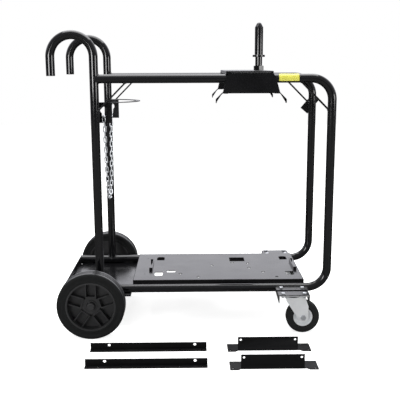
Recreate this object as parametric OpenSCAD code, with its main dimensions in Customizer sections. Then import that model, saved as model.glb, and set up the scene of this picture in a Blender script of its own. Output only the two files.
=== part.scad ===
// Two-wheel welding trolley: bent-tube side frames, deck, gas cylinder rest with
// chain, feeder pin, two spoked rear wheels, two swivel casters and loose brackets.
// Millimetres, +Z up, +X towards the casters. Right is -Y and left is +Y.

/* [Side frames] */
// Outer diameter of every frame tube
tube_d = 32; // [25:1:34]
// Wall thickness of the frame tube
tube_wall = 2; // [1.5:0.1:3]
// Distance between the two side frames, axis to axis
frame_gap = 420; // [380:1:460]
// Distance from the rear uprights to the front posts, axis to axis
frame_length = 865; // [820:1:1000]
// Height of the top rail above the bottom rail, axis to axis
frame_rise = 790; // [700:1:900]
// Centreline radius of the bends at the front posts
bend_radius = 78; // [60:1:95]
// Length of bottom rail behind the rear upright
rail_overhang = 137; // [130:1:170]

/* [Push handles] */
// Distance from the upright to the free leg of the hook, axis to axis
handle_reach = 155; // [130:1:180]
// Height of the hook's crown above the top rail, axis to axis
handle_rise = 156; // [130:1:220]
// Height of the free leg's end above the top rail's axis
handle_end_rise = 11; // [5:1:30]
// Thickness of the plastic plug's head in each open tube end
plug_head = 2; // [1.5:0.5:4]
// Length of the plug inside the tube
plug_depth = 12; // [8:1:20]

/* [Corner braces] */
// Length of each side of the corner that a brace closes
brace_leg = 98; // [70:1:120]
// Thickness of the flat bar
brace_thick = 5; // [3:0.5:6]
// Width of the flat bar
brace_width = 24; // [16:1:28]
// Length of the hanger plate
hanger_length = 75; // [50:1:90]
// Width of the hanger plate
hanger_width = 39; // [30:1:50]
// Tilt of the hanger plate from horizontal
hanger_tilt = 50; // [40:1:60]
// Height of the hanger plate's centre below the top rail's axis
hanger_drop = 117; // [100:1:150]
// Distance from the front post's axis back to the hanger plate's centre
hanger_setback = 7.5; // [0:0.5:12]

/* [Deck] */
// Sheet thickness of the deck and the folded brackets
sheet = 3; // [2:0.5:4]
// Length of the deck
deck_length = 660; // [600:1:700]
// Width of the deck
deck_width = 376; // [340:1:378]
// Height of the deck's top face above the bottom rail's axis
deck_rise = 26; // [22:1:34]
// Depth of the folded edges of the deck
deck_fold = 22; // [16:1:26]
// Distance from the rear upright's axis to the deck's rear edge
deck_start = 122; // [120:1:160]
// Side of the square cross rails under the deck
cross_rail = 25; // [20:1:28]
// Distance from the deck's rear edge to the rear cross rail's axis
rear_rail_inset = 41; // [25:1:55]
// Distance from the deck's front edge to the front cross rail's axis
front_rail_inset = 16; // [16:1:22]
// Diameter of the deck screws
deck_screw_d = 6; // [5:1:8]
// Distance between the two screws on one cross rail
deck_screw_gap = 220; // [180:1:300]
// Length of a strap slot along the deck
slot_length = 32; // [24:1:36]
// Width of a strap slot across the deck
slot_width = 50; // [36:1:56]
// Distance between the front and rear strap slots, centre to centre
slot_gap_x = 520; // [480:1:522]
// Distance between the left and right strap slots, centre to centre
slot_gap_y = 220; // [180:1:260]
// Length of the cable window along the deck
window_length = 63; // [50:1:80]
// Width of the cable window across the deck
window_width = 59; // [45:1:70]
// Diameter of the round fixing holes in the deck
deck_hole_d = 13; // [8:1:14]
// Distance between the paired fixing holes in the middle of the deck
deck_hole_pair = 62; // [40:1:80]
// Height of the stop tabs bent up at each end of the deck
stop_height = 12; // [8:1:16]
// Width of the stop tabs
stop_width = 128; // [100:1:140]
// Length of the ears folded outwards at both ends of a stop tab
stop_ear = 10; // [6:1:14]

/* [Gas cylinder tray and axle] */
// Length of the cylinder tray
tray_length = 253; // [240:1:258]
// Height of the tray's rear lip above its floor
tray_lip = 34; // [20:1:45]
// Depth of the folded-down edges of the tray
tray_skirt = 9; // [6:1:12]
// Diameter of the rear axle
axle_d = 20; // [16:1:24]
// Distance of the rear axle behind the uprights' axes
axle_setback = 22; // [0:1:50]
// Thickness of the plates that hold the axle
axle_plate = 4; // [3:0.5:6]
// Wall thickness of the spacer tubes on the axle
spacer_wall = 3; // [2:0.5:5]
// Length of each spacer tube, from the side frame to the rear wheel's hub
spacer_length = 53.7; // [40:0.1:80]

/* [Rear wheels] */
// Diameter of the rear wheels
wheel_d = 250; // [230:1:260]
// Width of the rear tyres
wheel_width = 60; // [50:1:70]
// Diameter of the plastic hub inside the tyre
hub_d = 184; // [170:1:196]
// Radius of the tyre's shoulders
tyre_round = 8; // [4:1:12]
// Number of spokes on a hub
spokes = 5; // [4:1:6]
// Width of one hollow spoke
spoke_width = 40; // [30:1:42]
// Wall thickness of the hub's ribs
hub_rib = 4; // [3:0.5:6]
// Diameter of the hub's boss
boss_d = 42; // [36:1:50]
// How far the hub's boss stays below the tyre's outer face
boss_recess = 14; // [12:1:20]

/* [Casters] */
// Overall height of a caster, floor to the top of its plate
caster_height = 155; // [148:1:170]
// Diameter of the caster wheel
caster_d = 125; // [110:1:130]
// Width of the caster wheel
caster_width = 36; // [30:1:40]
// Diameter of the caster's rim
caster_rim_d = 72; // [60:1:80]
// Gap between a bottom rail and the caster plate beside it
caster_gap = 4.5; // [1:0.5:20]
// Distance from the rear uprights to the swivel axes
caster_start = 727; // [700:1:735]
// Distance from the swivel axis to the wheel's axle
caster_trail = 38; // [30:1:45]
// Length of the caster plate along the trolley
caster_plate_x = 105; // [100:1:108]
// Width of the caster plate across the trolley
caster_plate_y = 85; // [80:1:90]
// Distance between the caster bolts along the trolley
caster_bolt_x = 80; // [74:1:82]
// Distance between the caster bolts across the trolley
caster_bolt_y = 60; // [56:1:62]
// Diameter of the caster bolts
caster_bolt_d = 8; // [6:1:9]
// Diameter of the caster wheel's axle bolt
caster_axle_d = 12; // [10:1:14]
// Diameter of the caster's kingpin
kingpin_d = 12; // [10:1:14]
// Length of the upper caster flange along the trolley
flange_length = 120; // [116:1:130]
// Depth of the caster bracket's side walls at their outer end
bracket_depth = 30; // [24:1:34]

/* [Feeder saddle and pin] */
// Distance from the rear uprights to the saddle's rear edge
saddle_start = 476; // [440:1:500]
// Length of the saddle plate along the rails
saddle_length = 172; // [150:1:190]
// Depth of the folds round the saddle plate
saddle_fold = 11; // [8:1:14]
// Height of the cheek plates on the outside of the rails
cheek_height = 72; // [60:1:80]
// How far each cheek spreads forward of the saddle at its lower edge
cheek_spread_front = 25; // [15:1:30]
// How far each cheek spreads behind the saddle at its lower edge
cheek_spread_rear = 12; // [8:1:20]
// Length of the slanting part of a cable hook
hook_slant = 32; // [24:1:40]
// Length of the hook's turned-down tip
hook_tip = 15; // [8:1:18]
// Width of the strip that a cable hook is bent from
hook_width = 24; // [16:1:30]
// Distance from the saddle's rear edge to the pin's axis
pin_inset = 139; // [80:1:145]
// Diameter of the pin's upper cylinder
pin_d = 32; // [25:0.5:34]
// Length of the pin's upper cylinder
pin_length = 106; // [80:1:130]
// Diameter of the pin's lower shaft
pin_shaft_d = 27; // [22:0.5:28]
// Length of the pin's lower shaft between the nut and the collar
pin_shaft_length = 33; // [25:1:45]
// Diameter of the pin's collar
pin_collar_d = 48; // [38:1:50]
// Thickness of the pin's collar
pin_collar = 8; // [5:1:10]
// Height of the pin's tapered tip
pin_tip = 16; // [10:1:22]
// Size of the pin's nuts across their corners
nut_corners = 43; // [40:1:50]
// Height of the pin's nuts
nut_height = 18; // [14:1:22]

/* [Cylinder yoke and chain] */
// Height of the yoke's top face below the top rail's axis
yoke_drop = 88; // [80:1:130]
// Inner radius of the yoke's collar
collar_inner = 118; // [110:1:122]
// Outer radius of the yoke's collar
collar_outer = 134; // [130:1:140]
// Distance from the uprights' axes forward to the collar's centre
collar_centre = 16; // [8:1:24]
// Height of the yoke's side flanges
yoke_flange = 77; // [66:1:90]
// How far the side flanges reach forward of the uprights' axes
yoke_flange_reach = 53; // [48:1:60]
// Height of the chain's axis below the yoke's top face
chain_drop = 50; // [46:1:52]
// Distance from the uprights' axes forward to the chain
chain_setback = 22; // [20:1:24]
// Diameter of the wide top of the keyhole
keyhole_d = 26; // [22:1:28]
// Diameter of the chain's wire
wire_d = 4; // [3:0.5:4.5]
// Outer width of a chain link
link_width = 14; // [13:0.5:15]
// Inner length of a chain link
link_inside = 20.5; // [19:0.5:23]
// Number of links in the hanging loop, an odd number
loop_links = 37; // [31:2:43]

/* [Loose mounting brackets] */
// Leg of the two angle strips
strip_leg = 25; // [20:1:30]
// Length of the two angle strips
strip_length = 412; // [380:1:420]
// Diameter of the large holes in an angle strip
strip_hole_d = 10; // [6:1:11]
// Distance between the two large holes in an angle strip
strip_hole_gap = 304; // [260:1:320]
// Diameter of the small holes in an angle strip
strip_small_d = 7; // [5:1:8]
// Length of the two hat brackets
hat_length = 295; // [290:1:320]
// Depth of a hat bracket's feet
hat_depth = 65; // [60:1:75]
// Height of a hat bracket's upright plate
hat_height = 51; // [40:1:60]
// Length of a hat bracket's upright plate
hat_plate = 212; // [200:1:220]
// Diameter of the holes in a hat bracket
hat_hole_d = 8; // [6:1:10]
// Gap in front of the rear wheels' outer faces to the rear angle strip
strip_offset = 89; // [80:1:130]
// Distance between the two angle strips
strip_pitch = 138; // [100:1:160]
// Distance between the two hat brackets
hat_pitch = 151; // [120:1:180]

/* [Decal] */
// Length of the plain decal on the right top rail
decal_length = 73; // [50:1:90]
// Distance from the rear uprights to the decal
decal_start = 668; // [660:1:690]

/* [Fits] */
// Radial clearance of wheel and swivel bores on their pins
running_gap = 0.06; // [0.03:0.01:0.09]
// Radial clearance of fixed fasteners in their holes
bolt_gap = 0.5; // [0.2:0.1:0.8]
// Radial clearance of nuts and fixed rings on their shafts
seat_gap = 0.05; // [0.02:0.01:0.1]
// Clearance between flat faces that turn past each other
side_play = 0.3; // [0.2:0.1:0.6]

/* [Hidden] */
$fn = 64;

black = "#1c1c1e";
rubber = "#2b2c2e";
zinc = "#c9ccd0";
eps = 1;

// Frame heights and lateral places
tube_r = tube_d / 2;
side_y = frame_gap / 2;
rail_z = caster_height - 1;
top_z = rail_z + frame_rise;
handle_r = handle_reach / 2;
handle_bend_z = top_z + handle_rise - handle_r;
handle_end_z = top_z + handle_end_rise;
inner_y = side_y - tube_r;
outer_y = side_y + tube_r;

// Deck
deck_top = rail_z + deck_rise;
deck_end = deck_start + deck_length;
deck_mid = deck_start + deck_length / 2;
rear_rail_x = deck_start + rear_rail_inset;
front_rail_x = deck_end - front_rail_inset;
rail_top = deck_top - sheet;
rail_step = 4;
slot_front_x = front_rail_x - cross_rail / 2 - slot_length / 2 + 0.5;
slot_rear_x = slot_front_x - slot_gap_x;
slot_chamfer = 8;
stop_rear_gap = 14;
stop_front_gap = 8;
stop_rear_x = slot_rear_x - slot_length / 2 - stop_rear_gap;
stop_front_x = slot_front_x + slot_length / 2 + stop_front_gap;
tie_slot_x = slot_rear_x + 31;
tie_slot_y = -88;
tie_slot = [34, 25];
pair_x = deck_mid + 131;
window_x = pair_x - 74;

// Tray and axle
tray_top = rail_z - tube_r;
tray_sheet = 2;
tray_under = tray_top - tray_sheet;
tray_start = -rail_overhang;
axle_x = -axle_setback;
axle_z = wheel_d / 2;
axle_r = axle_d / 2;
axle_plate_foot = 18;
wheel_track = 2 * (outer_y + spacer_length + side_play + wheel_width);
axle_end_y = wheel_track / 2 - 5;
hub_in_y = wheel_track / 2 - wheel_width;
boss_out_y = wheel_track / 2 - boss_recess;
washer_thick = 2.5;
washer_r = axle_r + 7;
cap_r = axle_r + 5;
cap_end_y = wheel_track / 2;

// Hub details, measured across the wheel from its inner face
hub_r = hub_d / 2;
boss_r = boss_d / 2;
hub_edge = 1;
hub_ring = 6;
web_from = wheel_width / 2 - 10;
web_thick = 6;
spoke_top = wheel_width - 12;
dome_r = boss_r + 13;
dome_top = spoke_top - 6;
spoke_inner = dome_r - 2;

// Casters
caster_y = outer_y + caster_gap + caster_plate_y / 2;
caster_axle_z = caster_d / 2;
caster_r = caster_d / 2;
caster_rim_r = caster_rim_d / 2;
plate_z = caster_height - sheet;
race_r = 32;
race_height = 8;
crown_r = 30;
race_z = plate_z - race_height - 0.7;
crown_top = race_z - side_play;
crown_z = crown_top - sheet;
kingpin_r = kingpin_d / 2;
kingpin_head = 3;
kingpin_head_r = kingpin_r + 5;
fork_gap = caster_width / 2 + 2 + side_play;
fork_out = fork_gap + sheet;
fork_round = 19;
fork_rear = 26;
fork_step = 9;
fork_corner = 6;
caster_axle_r = caster_axle_d / 2;
bracket_half_x = caster_plate_x / 2 + 2 + sheet;
bracket_out_y = caster_y + caster_plate_y / 2 + 1.5;
bracket_top = caster_height + sheet;
flange_top = bracket_top + sheet;
flange_out_y = caster_y - caster_bolt_y / 2 + 22;
bolt_head = 5;
bolt_head_corners = caster_bolt_d * 1.85;
caster_nut = 6.5;

// Saddle, pin and cable hooks
saddle_end = saddle_start + saddle_length;
saddle_top = top_z + tube_r + saddle_fold;
saddle_under = saddle_top - sheet;
cheek_top = top_z + tube_r + 3;
cheek_bottom = cheek_top - cheek_height;
cheek_round = 20;
cheek_belly = 13;
pin_x = saddle_start + pin_inset;
pin_shaft_r = pin_shaft_d / 2;
pin_stub_r = pin_shaft_r - 0.5;
nut_z = saddle_top;
shaft_z = nut_z + nut_height;
collar_z = shaft_z + pin_shaft_length;
cylinder_z = collar_z + pin_collar;
tip_z = cylinder_z + pin_length;
pin_stub = nut_height + 6;
hook_thick = 3;

// Yoke and chain
yoke_top = top_z - yoke_drop;
yoke_under = yoke_top - sheet;
yoke_side_y = collar_outer - 5;
flange_mid_y = yoke_side_y - sheet / 2;
chain_x = chain_setback;
chain_z = yoke_top - chain_drop;
wire_r = wire_d / 2;
link_bow = (link_width - wire_d) / 2;
link_half = link_inside / 2 + wire_r;
seat_r = link_width / 2 + side_play;
flat_step = 2 * link_half;
upright_step = link_inside - wire_d - 0.5;
loop_half_span = flange_mid_y - upright_step / 2;
loop_length = (loop_links + 1) / 2 * flat_step + (loop_links - 1) / 2 * upright_step;

// Loose brackets, in front of the trolley's right-hand side
strip_y = -(wheel_track / 2 + strip_offset + strip_leg);
strip_x = -12;
hat_x = 474;
hat_y = strip_y - 8;
hat_lip = 9;
hat_left = 36;
hat_edge = 10;

// The model's origin is on the floor, under the middle of its outline
low_x = -handle_reach - tube_r;
hanger_half = (hanger_length * cos(hanger_tilt) + hanger_width * sin(hanger_tilt)) / 2;
high_x = max(frame_length + tube_r, frame_length - hanger_setback + hanger_half);
low_y = hat_y - hat_pitch;
high_y = wheel_track / 2;
origin_shift = [-(low_x + high_x) / 2, -(low_y + high_y) / 2, 0];

module in_place() {
  translate(origin_shift) children();
}

// Puts a right-hand piece on the left side
module left() {
  mirror([0, 1, 0]) children();
}

// Lays a shape drawn in X and Z, extruded in +Y from its own face
module upright_sheet(thick) {
  translate([0, thick, 0]) rotate([90, 0, 0]) linear_extrude(thick) children();
}

module tube_section() {
  difference() {
    circle(tube_r);
    circle(tube_r - tube_wall);
  }
}

module tube_along_x(from, to) {
  translate([from, 0, 0]) rotate([0, 90, 0]) linear_extrude(to - from) tube_section();
}

module tube_along_z(from, to) {
  translate([0, 0, from]) linear_extrude(to - from) tube_section();
}

// Bend in the X-Z plane about its own centre
module tube_bend(radius, from, sweep) {
  rotate([90, 0, 0]) rotate([0, 0, from]) rotate_extrude(angle = sweep)
    translate([radius, 0]) tube_section();
}

module bar_along_y(radius, from, to) {
  translate([0, from, 0]) rotate([-90, 0, 0]) cylinder(r = radius, h = to - from);
}

module hex_prism(corners, height) {
  cylinder(d = corners, h = height, $fn = 6);
}

// One bent tube: top rail, front post and bottom rail
module side_loop() {
  bend_x = frame_length - bend_radius;
  difference() {
    union() {
      translate([0, 0, top_z]) tube_along_x(0, bend_x);
      translate([bend_x, 0, top_z - bend_radius]) tube_bend(bend_radius, 0, 90);
      translate([frame_length, 0, 0])
        tube_along_z(rail_z + bend_radius, top_z - bend_radius);
      translate([bend_x, 0, rail_z + bend_radius]) tube_bend(bend_radius, -90, 90);
      translate([0, 0, rail_z]) tube_along_x(-rail_overhang, bend_x);
    }
    translate([0, 0, top_z - tube_d]) cylinder(r = tube_r, h = 2 * tube_d);
  }
}

module side_loop_right() {
  color(black) in_place() translate([0, -side_y, 0]) side_loop();
}

module side_loop_left() {
  color(black) in_place() translate([0, side_y, 0]) side_loop();
}

// Upright tube that ends in the hook-shaped push handle
module rear_upright() {
  difference() {
    union() {
      tube_along_z(rail_z, handle_bend_z);
      translate([-handle_r, 0, handle_bend_z]) tube_bend(handle_r, 0, 180);
      translate([-handle_reach, 0, 0]) tube_along_z(handle_end_z + plug_head, handle_bend_z);
    }
    translate([-tube_d, 0, rail_z]) rotate([0, 90, 0]) cylinder(r = tube_r, h = 2 * tube_d);
  }
}

module rear_upright_right() {
  color(black) in_place() translate([0, -side_y, 0]) rear_upright();
}

module rear_upright_left() {
  color(black) in_place() translate([0, side_y, 0]) rear_upright();
}

// Plug with its head down and its stem up the tube
module tube_plug() {
  cylinder(r = tube_r, h = plug_head);
  translate([0, 0, plug_head]) cylinder(r = tube_r - tube_wall - seat_gap, h = plug_depth);
}

module tube_end_plugs() {
  color(black) in_place() for (y = [-side_y, side_y]) {
    translate([-handle_reach, y, handle_end_z]) tube_plug();
    translate([-rail_overhang - plug_head, y, rail_z]) rotate([0, 90, 0]) tube_plug();
  }
}

// Flat bar across the corner below a rail and in front of an upright, shaped to both
// tubes; the tubes' axes cross at the origin
module corner_brace() {
  reach = brace_leg + 2 * tube_r;
  shift = brace_thick * sqrt(2);
  difference() {
    translate([0, -brace_width / 2, 0]) upright_sheet(brace_width)
      polygon([[0, -reach], [reach, 0], [reach - shift, 0], [0, shift - reach]]);
    cylinder(r = tube_r, h = 3 * reach, center = true);
    rotate([0, 90, 0]) cylinder(r = tube_r, h = 3 * reach, center = true);
  }
}

module rear_brace(y) {
  translate([0, y, top_z]) corner_brace();
}

module front_brace(y) {
  translate([frame_length, y, top_z]) mirror([1, 0, 0]) corner_brace();
}

module rear_brace_right() {
  color(black) in_place() rear_brace(-side_y);
}

module rear_brace_left() {
  color(black) in_place() rear_brace(side_y);
}

module front_brace_right() {
  color(black) in_place() front_brace(-side_y);
}

module front_brace_left() {
  color(black) in_place() front_brace(side_y);
}

// Tilted plate on the outer side of the left front post
module hanger_plate() {
  color(black) in_place()
    translate([frame_length - hanger_setback, outer_y, top_z - hanger_drop])
      upright_sheet(sheet) rotate(hanger_tilt)
        square([hanger_length, hanger_width], center = true);
}

// Strap slot with its two outer corners cut off, outer side towards -Y
module strap_slot() {
  half_x = slot_length / 2;
  half_y = slot_width / 2;
  translate([0, 0, -sheet - eps]) linear_extrude(sheet + 2 * eps) polygon([
    [-half_x, half_y], [-half_x, slot_chamfer - half_y], [slot_chamfer - half_x, -half_y],
    [half_x - slot_chamfer, -half_y], [half_x, slot_chamfer - half_y], [half_x, half_y]
  ]);
}

module deck_hole(x, y, d) {
  translate([x, y, -sheet - eps]) cylinder(d = d, h = sheet + 2 * eps);
}

// Hole for a countersunk screw, wide at height 0 and narrow below its head
module countersunk_hole(x, y, d) {
  head = d / 2;
  translate([x, y, -head]) {
    cylinder(d1 = d + 2 * seat_gap, d2 = 2 * (d + seat_gap + eps), h = head + eps);
    translate([0, 0, -sheet - eps]) cylinder(d = d + 2 * seat_gap, h = sheet + head + eps);
  }
}

// Everything cut through the deck's top face, which lies at height 0
module deck_cuts() {
  for (x = [slot_rear_x, slot_front_x]) {
    translate([x, -slot_gap_y / 2, 0]) strap_slot();
    translate([x, slot_gap_y / 2, 0]) left() strap_slot();
  }
  translate([window_x, slot_gap_y / 2 - 48, -sheet - eps])
    cube([window_length, window_width, sheet + 2 * eps]);
  translate([tie_slot_x, tie_slot_y, -sheet - eps])
    cube([tie_slot[0], tie_slot[1], sheet + 2 * eps]);
  for (y = [-deck_hole_pair / 2, deck_hole_pair / 2])
    deck_hole(pair_x, y, deck_hole_d);
  for (place = [[-148, -108], [-77, -153], [-20, 3], [66, 43], [182, -90], [229, -158]])
    deck_hole(deck_mid + place[0], place[1], deck_hole_d);
  for (x = [rear_rail_x, front_rail_x], y = [-deck_screw_gap / 2, deck_screw_gap / 2])
    countersunk_hole(x, y, deck_screw_d);
}

// Stop tab bent up from the deck, with an ear towards -X at each end
module stop_tab() {
  half = stop_width / 2;
  translate([-stop_ear, -half, 0]) difference() {
    cube([stop_ear + sheet, stop_width, stop_height]);
    translate([-eps, sheet, -eps])
      cube([stop_ear + eps, stop_width - 2 * sheet, stop_height + 2 * eps]);
  }
}

// Folded tray with its edges down, notched over the two cross rails
module deck_plate() {
  color(black) in_place() {
    difference() {
      translate([deck_start, -deck_width / 2, deck_top - deck_fold])
        cube([deck_length, deck_width, deck_fold]);
      translate([deck_start + sheet, sheet - deck_width / 2, deck_top - deck_fold - eps])
        cube([deck_length - 2 * sheet, deck_width - 2 * sheet, deck_fold - sheet + eps]);
      for (x = [rear_rail_x, front_rail_x])
        translate([x - cross_rail / 2 - side_play, -deck_width, deck_top - deck_fold - eps])
          cube([cross_rail + 2 * side_play, 2 * deck_width, rail_step + side_play + eps]);
      translate([0, 0, deck_top]) deck_cuts();
    }
    translate([stop_rear_x, 0, deck_top]) stop_tab();
    translate([stop_front_x, 0, deck_top]) mirror([1, 0, 0]) stop_tab();
  }
}

// Square tube between the two bottom rails, shaped to their round sides and stepped
// down at both ends to pass under the deck's edge
module cross_rail_at(x) {
  translate([x, 0, rail_top - cross_rail]) difference() {
    translate([-cross_rail / 2, -side_y, 0]) cube([cross_rail, frame_gap, cross_rail]);
    translate([tube_wall - cross_rail / 2, -side_y - eps, tube_wall])
      cube([cross_rail - 2 * tube_wall, frame_gap + 2 * eps, cross_rail - 2 * tube_wall]);
    for (y = [-side_y, side_y])
      translate([-cross_rail, y, rail_z - rail_top + cross_rail]) rotate([0, 90, 0])
        cylinder(r = tube_r, h = 2 * cross_rail);
    for (side = [0, 1]) mirror([0, side, 0])
      translate([-cross_rail, deck_width / 2 - sheet - side_play,
        deck_top - deck_fold + rail_step - rail_top + cross_rail])
        cube([2 * cross_rail, deck_width, cross_rail]);
    for (y = [-deck_screw_gap / 2, deck_screw_gap / 2])
      translate([0, y, cross_rail - tube_wall - eps])
        cylinder(d = deck_screw_d + 2 * seat_gap, h = tube_wall + 2 * eps);
  }
}

module front_cross_rail() {
  color(black) in_place() cross_rail_at(front_rail_x);
}

module rear_cross_rail() {
  color(black) in_place() cross_rail_at(rear_rail_x);
}

module deck_screws() {
  shank = sheet + tube_wall + 6;
  color(black) in_place()
    for (x = [rear_rail_x, front_rail_x], y = [-deck_screw_gap / 2, deck_screw_gap / 2])
      translate([x, y, deck_top]) {
        translate([0, 0, -deck_screw_d / 2])
          cylinder(d1 = deck_screw_d, d2 = 2 * deck_screw_d, h = deck_screw_d / 2);
        translate([0, 0, -shank]) cylinder(d = deck_screw_d, h = shank - eps);
      }
}

// Tray under the bottom rails: floor, rear lip and folded-down edges
module cylinder_tray() {
  lip_half = inner_y - 1;
  relief_d = 9;
  color(black) in_place() difference() {
    union() {
      translate([tray_start, -outer_y, tray_under]) cube([tray_length, 2 * outer_y, tray_sheet]);
      translate([tray_start, -lip_half, tray_top]) cube([tray_sheet, 2 * lip_half, tray_lip]);
      translate([tray_start, -outer_y, tray_under - tray_skirt])
        cube([tray_length, tray_sheet, tray_skirt]);
      translate([tray_start, outer_y - tray_sheet, tray_under - tray_skirt])
        cube([tray_length, tray_sheet, tray_skirt]);
      translate([tray_start + tray_length - tray_sheet, -outer_y, tray_under - tray_skirt])
        cube([tray_sheet, 2 * outer_y, tray_skirt]);
    }
    for (y = [-inner_y + relief_d, inner_y - relief_d])
      translate([tray_start + tray_sheet + relief_d / 2, y, tray_under - eps])
        cylinder(d = relief_d, h = tray_sheet + 2 * eps);
    translate([axle_x, 0, axle_z]) bar_along_y(axle_r + bolt_gap, -outer_y - eps, outer_y + eps);
  }
}

// Plate under the tray that carries the axle
module axle_plate_piece() {
  half = axle_r + axle_plate_foot;
  low = axle_r + 9;
  translate([axle_x, -outer_y + tray_sheet, axle_z]) upright_sheet(axle_plate) difference() {
    polygon([
      [-half, tray_under - axle_z], [-half, 0], [-low, -low * 0.8], [-low / 2, -low],
      [low / 2, -low], [low, -low * 0.8], [half, 0], [half, tray_under - axle_z]
    ]);
    circle(axle_r + seat_gap);
  }
}

module axle_plate_right() {
  color(black) in_place() axle_plate_piece();
}

module axle_plate_left() {
  color(black) in_place() left() axle_plate_piece();
}

module rear_axle() {
  color(zinc) in_place() translate([axle_x, 0, axle_z])
    bar_along_y(axle_r, -axle_end_y, axle_end_y);
}

// Ring round the axle between two distances from the middle, on both sides
module axle_rings(outer, from, to) {
  for (y = [-to, from])
    translate([axle_x, y, axle_z]) rotate([-90, 0, 0]) difference() {
      cylinder(r = outer, h = to - from);
      translate([0, 0, -eps]) cylinder(r = axle_r + seat_gap, h = to - from + 2 * eps);
    }
}

module axle_spacers() {
  color(black) in_place()
    axle_rings(axle_r + seat_gap + spacer_wall, outer_y, hub_in_y - side_play);
}

module axle_washers() {
  washer_y = boss_out_y + side_play;
  color(zinc) in_place() axle_rings(washer_r, washer_y, washer_y + washer_thick);
}

// Domed cap pressed over the axle's end
module axle_cap() {
  cap_y = boss_out_y + side_play + washer_thick;
  cap_height = cap_end_y - cap_y;
  depth = axle_end_y - cap_y;
  translate([axle_x, -cap_y, axle_z]) rotate([90, 0, 0]) difference() {
    rotate_extrude() union() {
      square([cap_r, cap_height - 4]);
      square([cap_r - 4, cap_height]);
      translate([cap_r - 4, cap_height - 4]) intersection() {
        circle(4);
        square(4);
      }
    }
    translate([0, 0, -eps]) cylinder(r = axle_r + seat_gap, h = depth + eps);
  }
}

module axle_caps() {
  color(black) in_place() {
    axle_cap();
    left() axle_cap();
  }
}

// Round-shouldered tyre; its inner face is at 0 and it grows outwards along +Z
module tyre_ring(inner_r, outer_r, width, round_r) {
  rotate_extrude() union() {
    translate([inner_r, 0]) square([outer_r - round_r - inner_r, width]);
    translate([inner_r, round_r]) square([outer_r - inner_r, width - 2 * round_r]);
    for (z = [round_r, width - round_r])
      translate([outer_r - round_r, z]) circle(round_r);
  }
}

// Sets a wheel piece, drawn outwards along +Z, on the right-hand rear axle
module on_rear_axle() {
  translate([axle_x, -hub_in_y, axle_z]) rotate([90, 0, 0]) children();
}

module rear_tyre() {
  on_rear_axle() tyre_ring(hub_r, wheel_d / 2, wheel_width, tyre_round);
}

module rear_tyre_right() {
  color(rubber) in_place() rear_tyre();
}

module rear_tyre_left() {
  color(rubber) in_place() left() rear_tyre();
}

// Ribs of one hollow spoke, open towards the rim; their ends are hidden inside it
module hub_spoke() {
  foot = web_from + web_thick / 2;
  translate([0, 0, foot]) linear_extrude(spoke_top - foot) intersection() {
    difference() {
      translate([spoke_inner, -spoke_width / 2]) square([hub_r, spoke_width]);
      translate([spoke_inner + hub_rib, hub_rib - spoke_width / 2])
        square([hub_r, spoke_width - 2 * hub_rib]);
    }
    circle(hub_r - hub_ring / 2);
  }
}

// Half of the hub's turned section: rim, web, dome and boss round the bore
module hub_section() {
  bore_r = axle_r + running_gap;
  translate([hub_r - hub_ring, hub_edge]) square([hub_ring, wheel_width - 2 * hub_edge]);
  translate([bore_r, web_from]) square([hub_r - hub_ring / 2 - bore_r, web_thick]);
  translate([bore_r, web_from]) square([dome_r - bore_r, dome_top - web_from]);
  translate([bore_r, 0]) square([boss_r - bore_r, boss_out_y - hub_in_y]);
}

module rear_hub() {
  on_rear_axle() {
    rotate_extrude() hub_section();
    for (i = [0 : spokes - 1])
      rotate([0, 0, 90 + i * 360 / spokes]) hub_spoke();
  }
}

module rear_hub_right() {
  color(black) in_place() rear_hub();
}

module rear_hub_left() {
  color(black) in_place() left() rear_hub();
}

// Folded plate across both top rails; its end folds stand on the tubes
module feeder_saddle() {
  color(black) in_place() difference() {
    translate([saddle_start, -outer_y, saddle_top - saddle_fold])
      cube([saddle_length, 2 * outer_y, saddle_fold]);
    translate([saddle_start + sheet, sheet - outer_y, saddle_top - saddle_fold - eps])
      cube([saddle_length - 2 * sheet, 2 * (outer_y - sheet), saddle_fold - sheet + eps]);
    translate([pin_x, 0, saddle_under - eps])
      cylinder(r = pin_stub_r + bolt_gap, h = sheet + 2 * eps);
  }
}

// Plate on the outside of a top rail, wider at its lower edge
module saddle_cheek() {
  rise = cheek_top - cheek_bottom;
  round_z = rise - cheek_round;
  rear = cheek_spread_rear;
  front = rear + saddle_length;
  translate([saddle_start - rear, -outer_y - sheet, cheek_bottom]) upright_sheet(sheet)
    difference() {
      polygon([
        [0, 0], [front + cheek_spread_front, 0], [front + cheek_belly, round_z - cheek_round / 2],
        [front + cheek_belly - 2, round_z], [front + cheek_belly - 8, rise - cheek_round / 2],
        [front - 1, rise], [rear, rise], [rear, round_z]
      ]);
      translate([rear - eps, round_z]) difference() {
        square([cheek_round + eps, cheek_round + eps]);
        translate([cheek_round + eps, 0]) circle(cheek_round);
      }
    }
}

module saddle_cheek_right() {
  color(black) in_place() saddle_cheek();
}

module saddle_cheek_left() {
  color(black) in_place() left() saddle_cheek();
}

// Bent strip inside a cheek's lower corner, drawn reaching towards +X
module cable_hook() {
  run = hook_slant * cos(45);
  t = hook_thick;
  root = 22;
  upright_sheet(hook_width) polygon([
    [-root, 0], [0, 0], [run + t / 2, -run - t / 2], [run + t / 2, -run - hook_tip],
    [run - t / 2, -run - hook_tip], [run - t / 2, -run], [-t / 2, -t], [-root, -t]
  ]);
}

module cable_hooks() {
  front_x = saddle_end + cheek_spread_front;
  rear_x = saddle_start - cheek_spread_rear;
  hook_z = cheek_bottom + hook_thick;
  color(black) in_place() for (side = [0, 1]) mirror([0, side, 0]) {
    translate([front_x, -outer_y, hook_z]) cable_hook();
    translate([rear_x, -outer_y, hook_z]) mirror([1, 0, 0]) cable_hook();
  }
}

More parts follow.
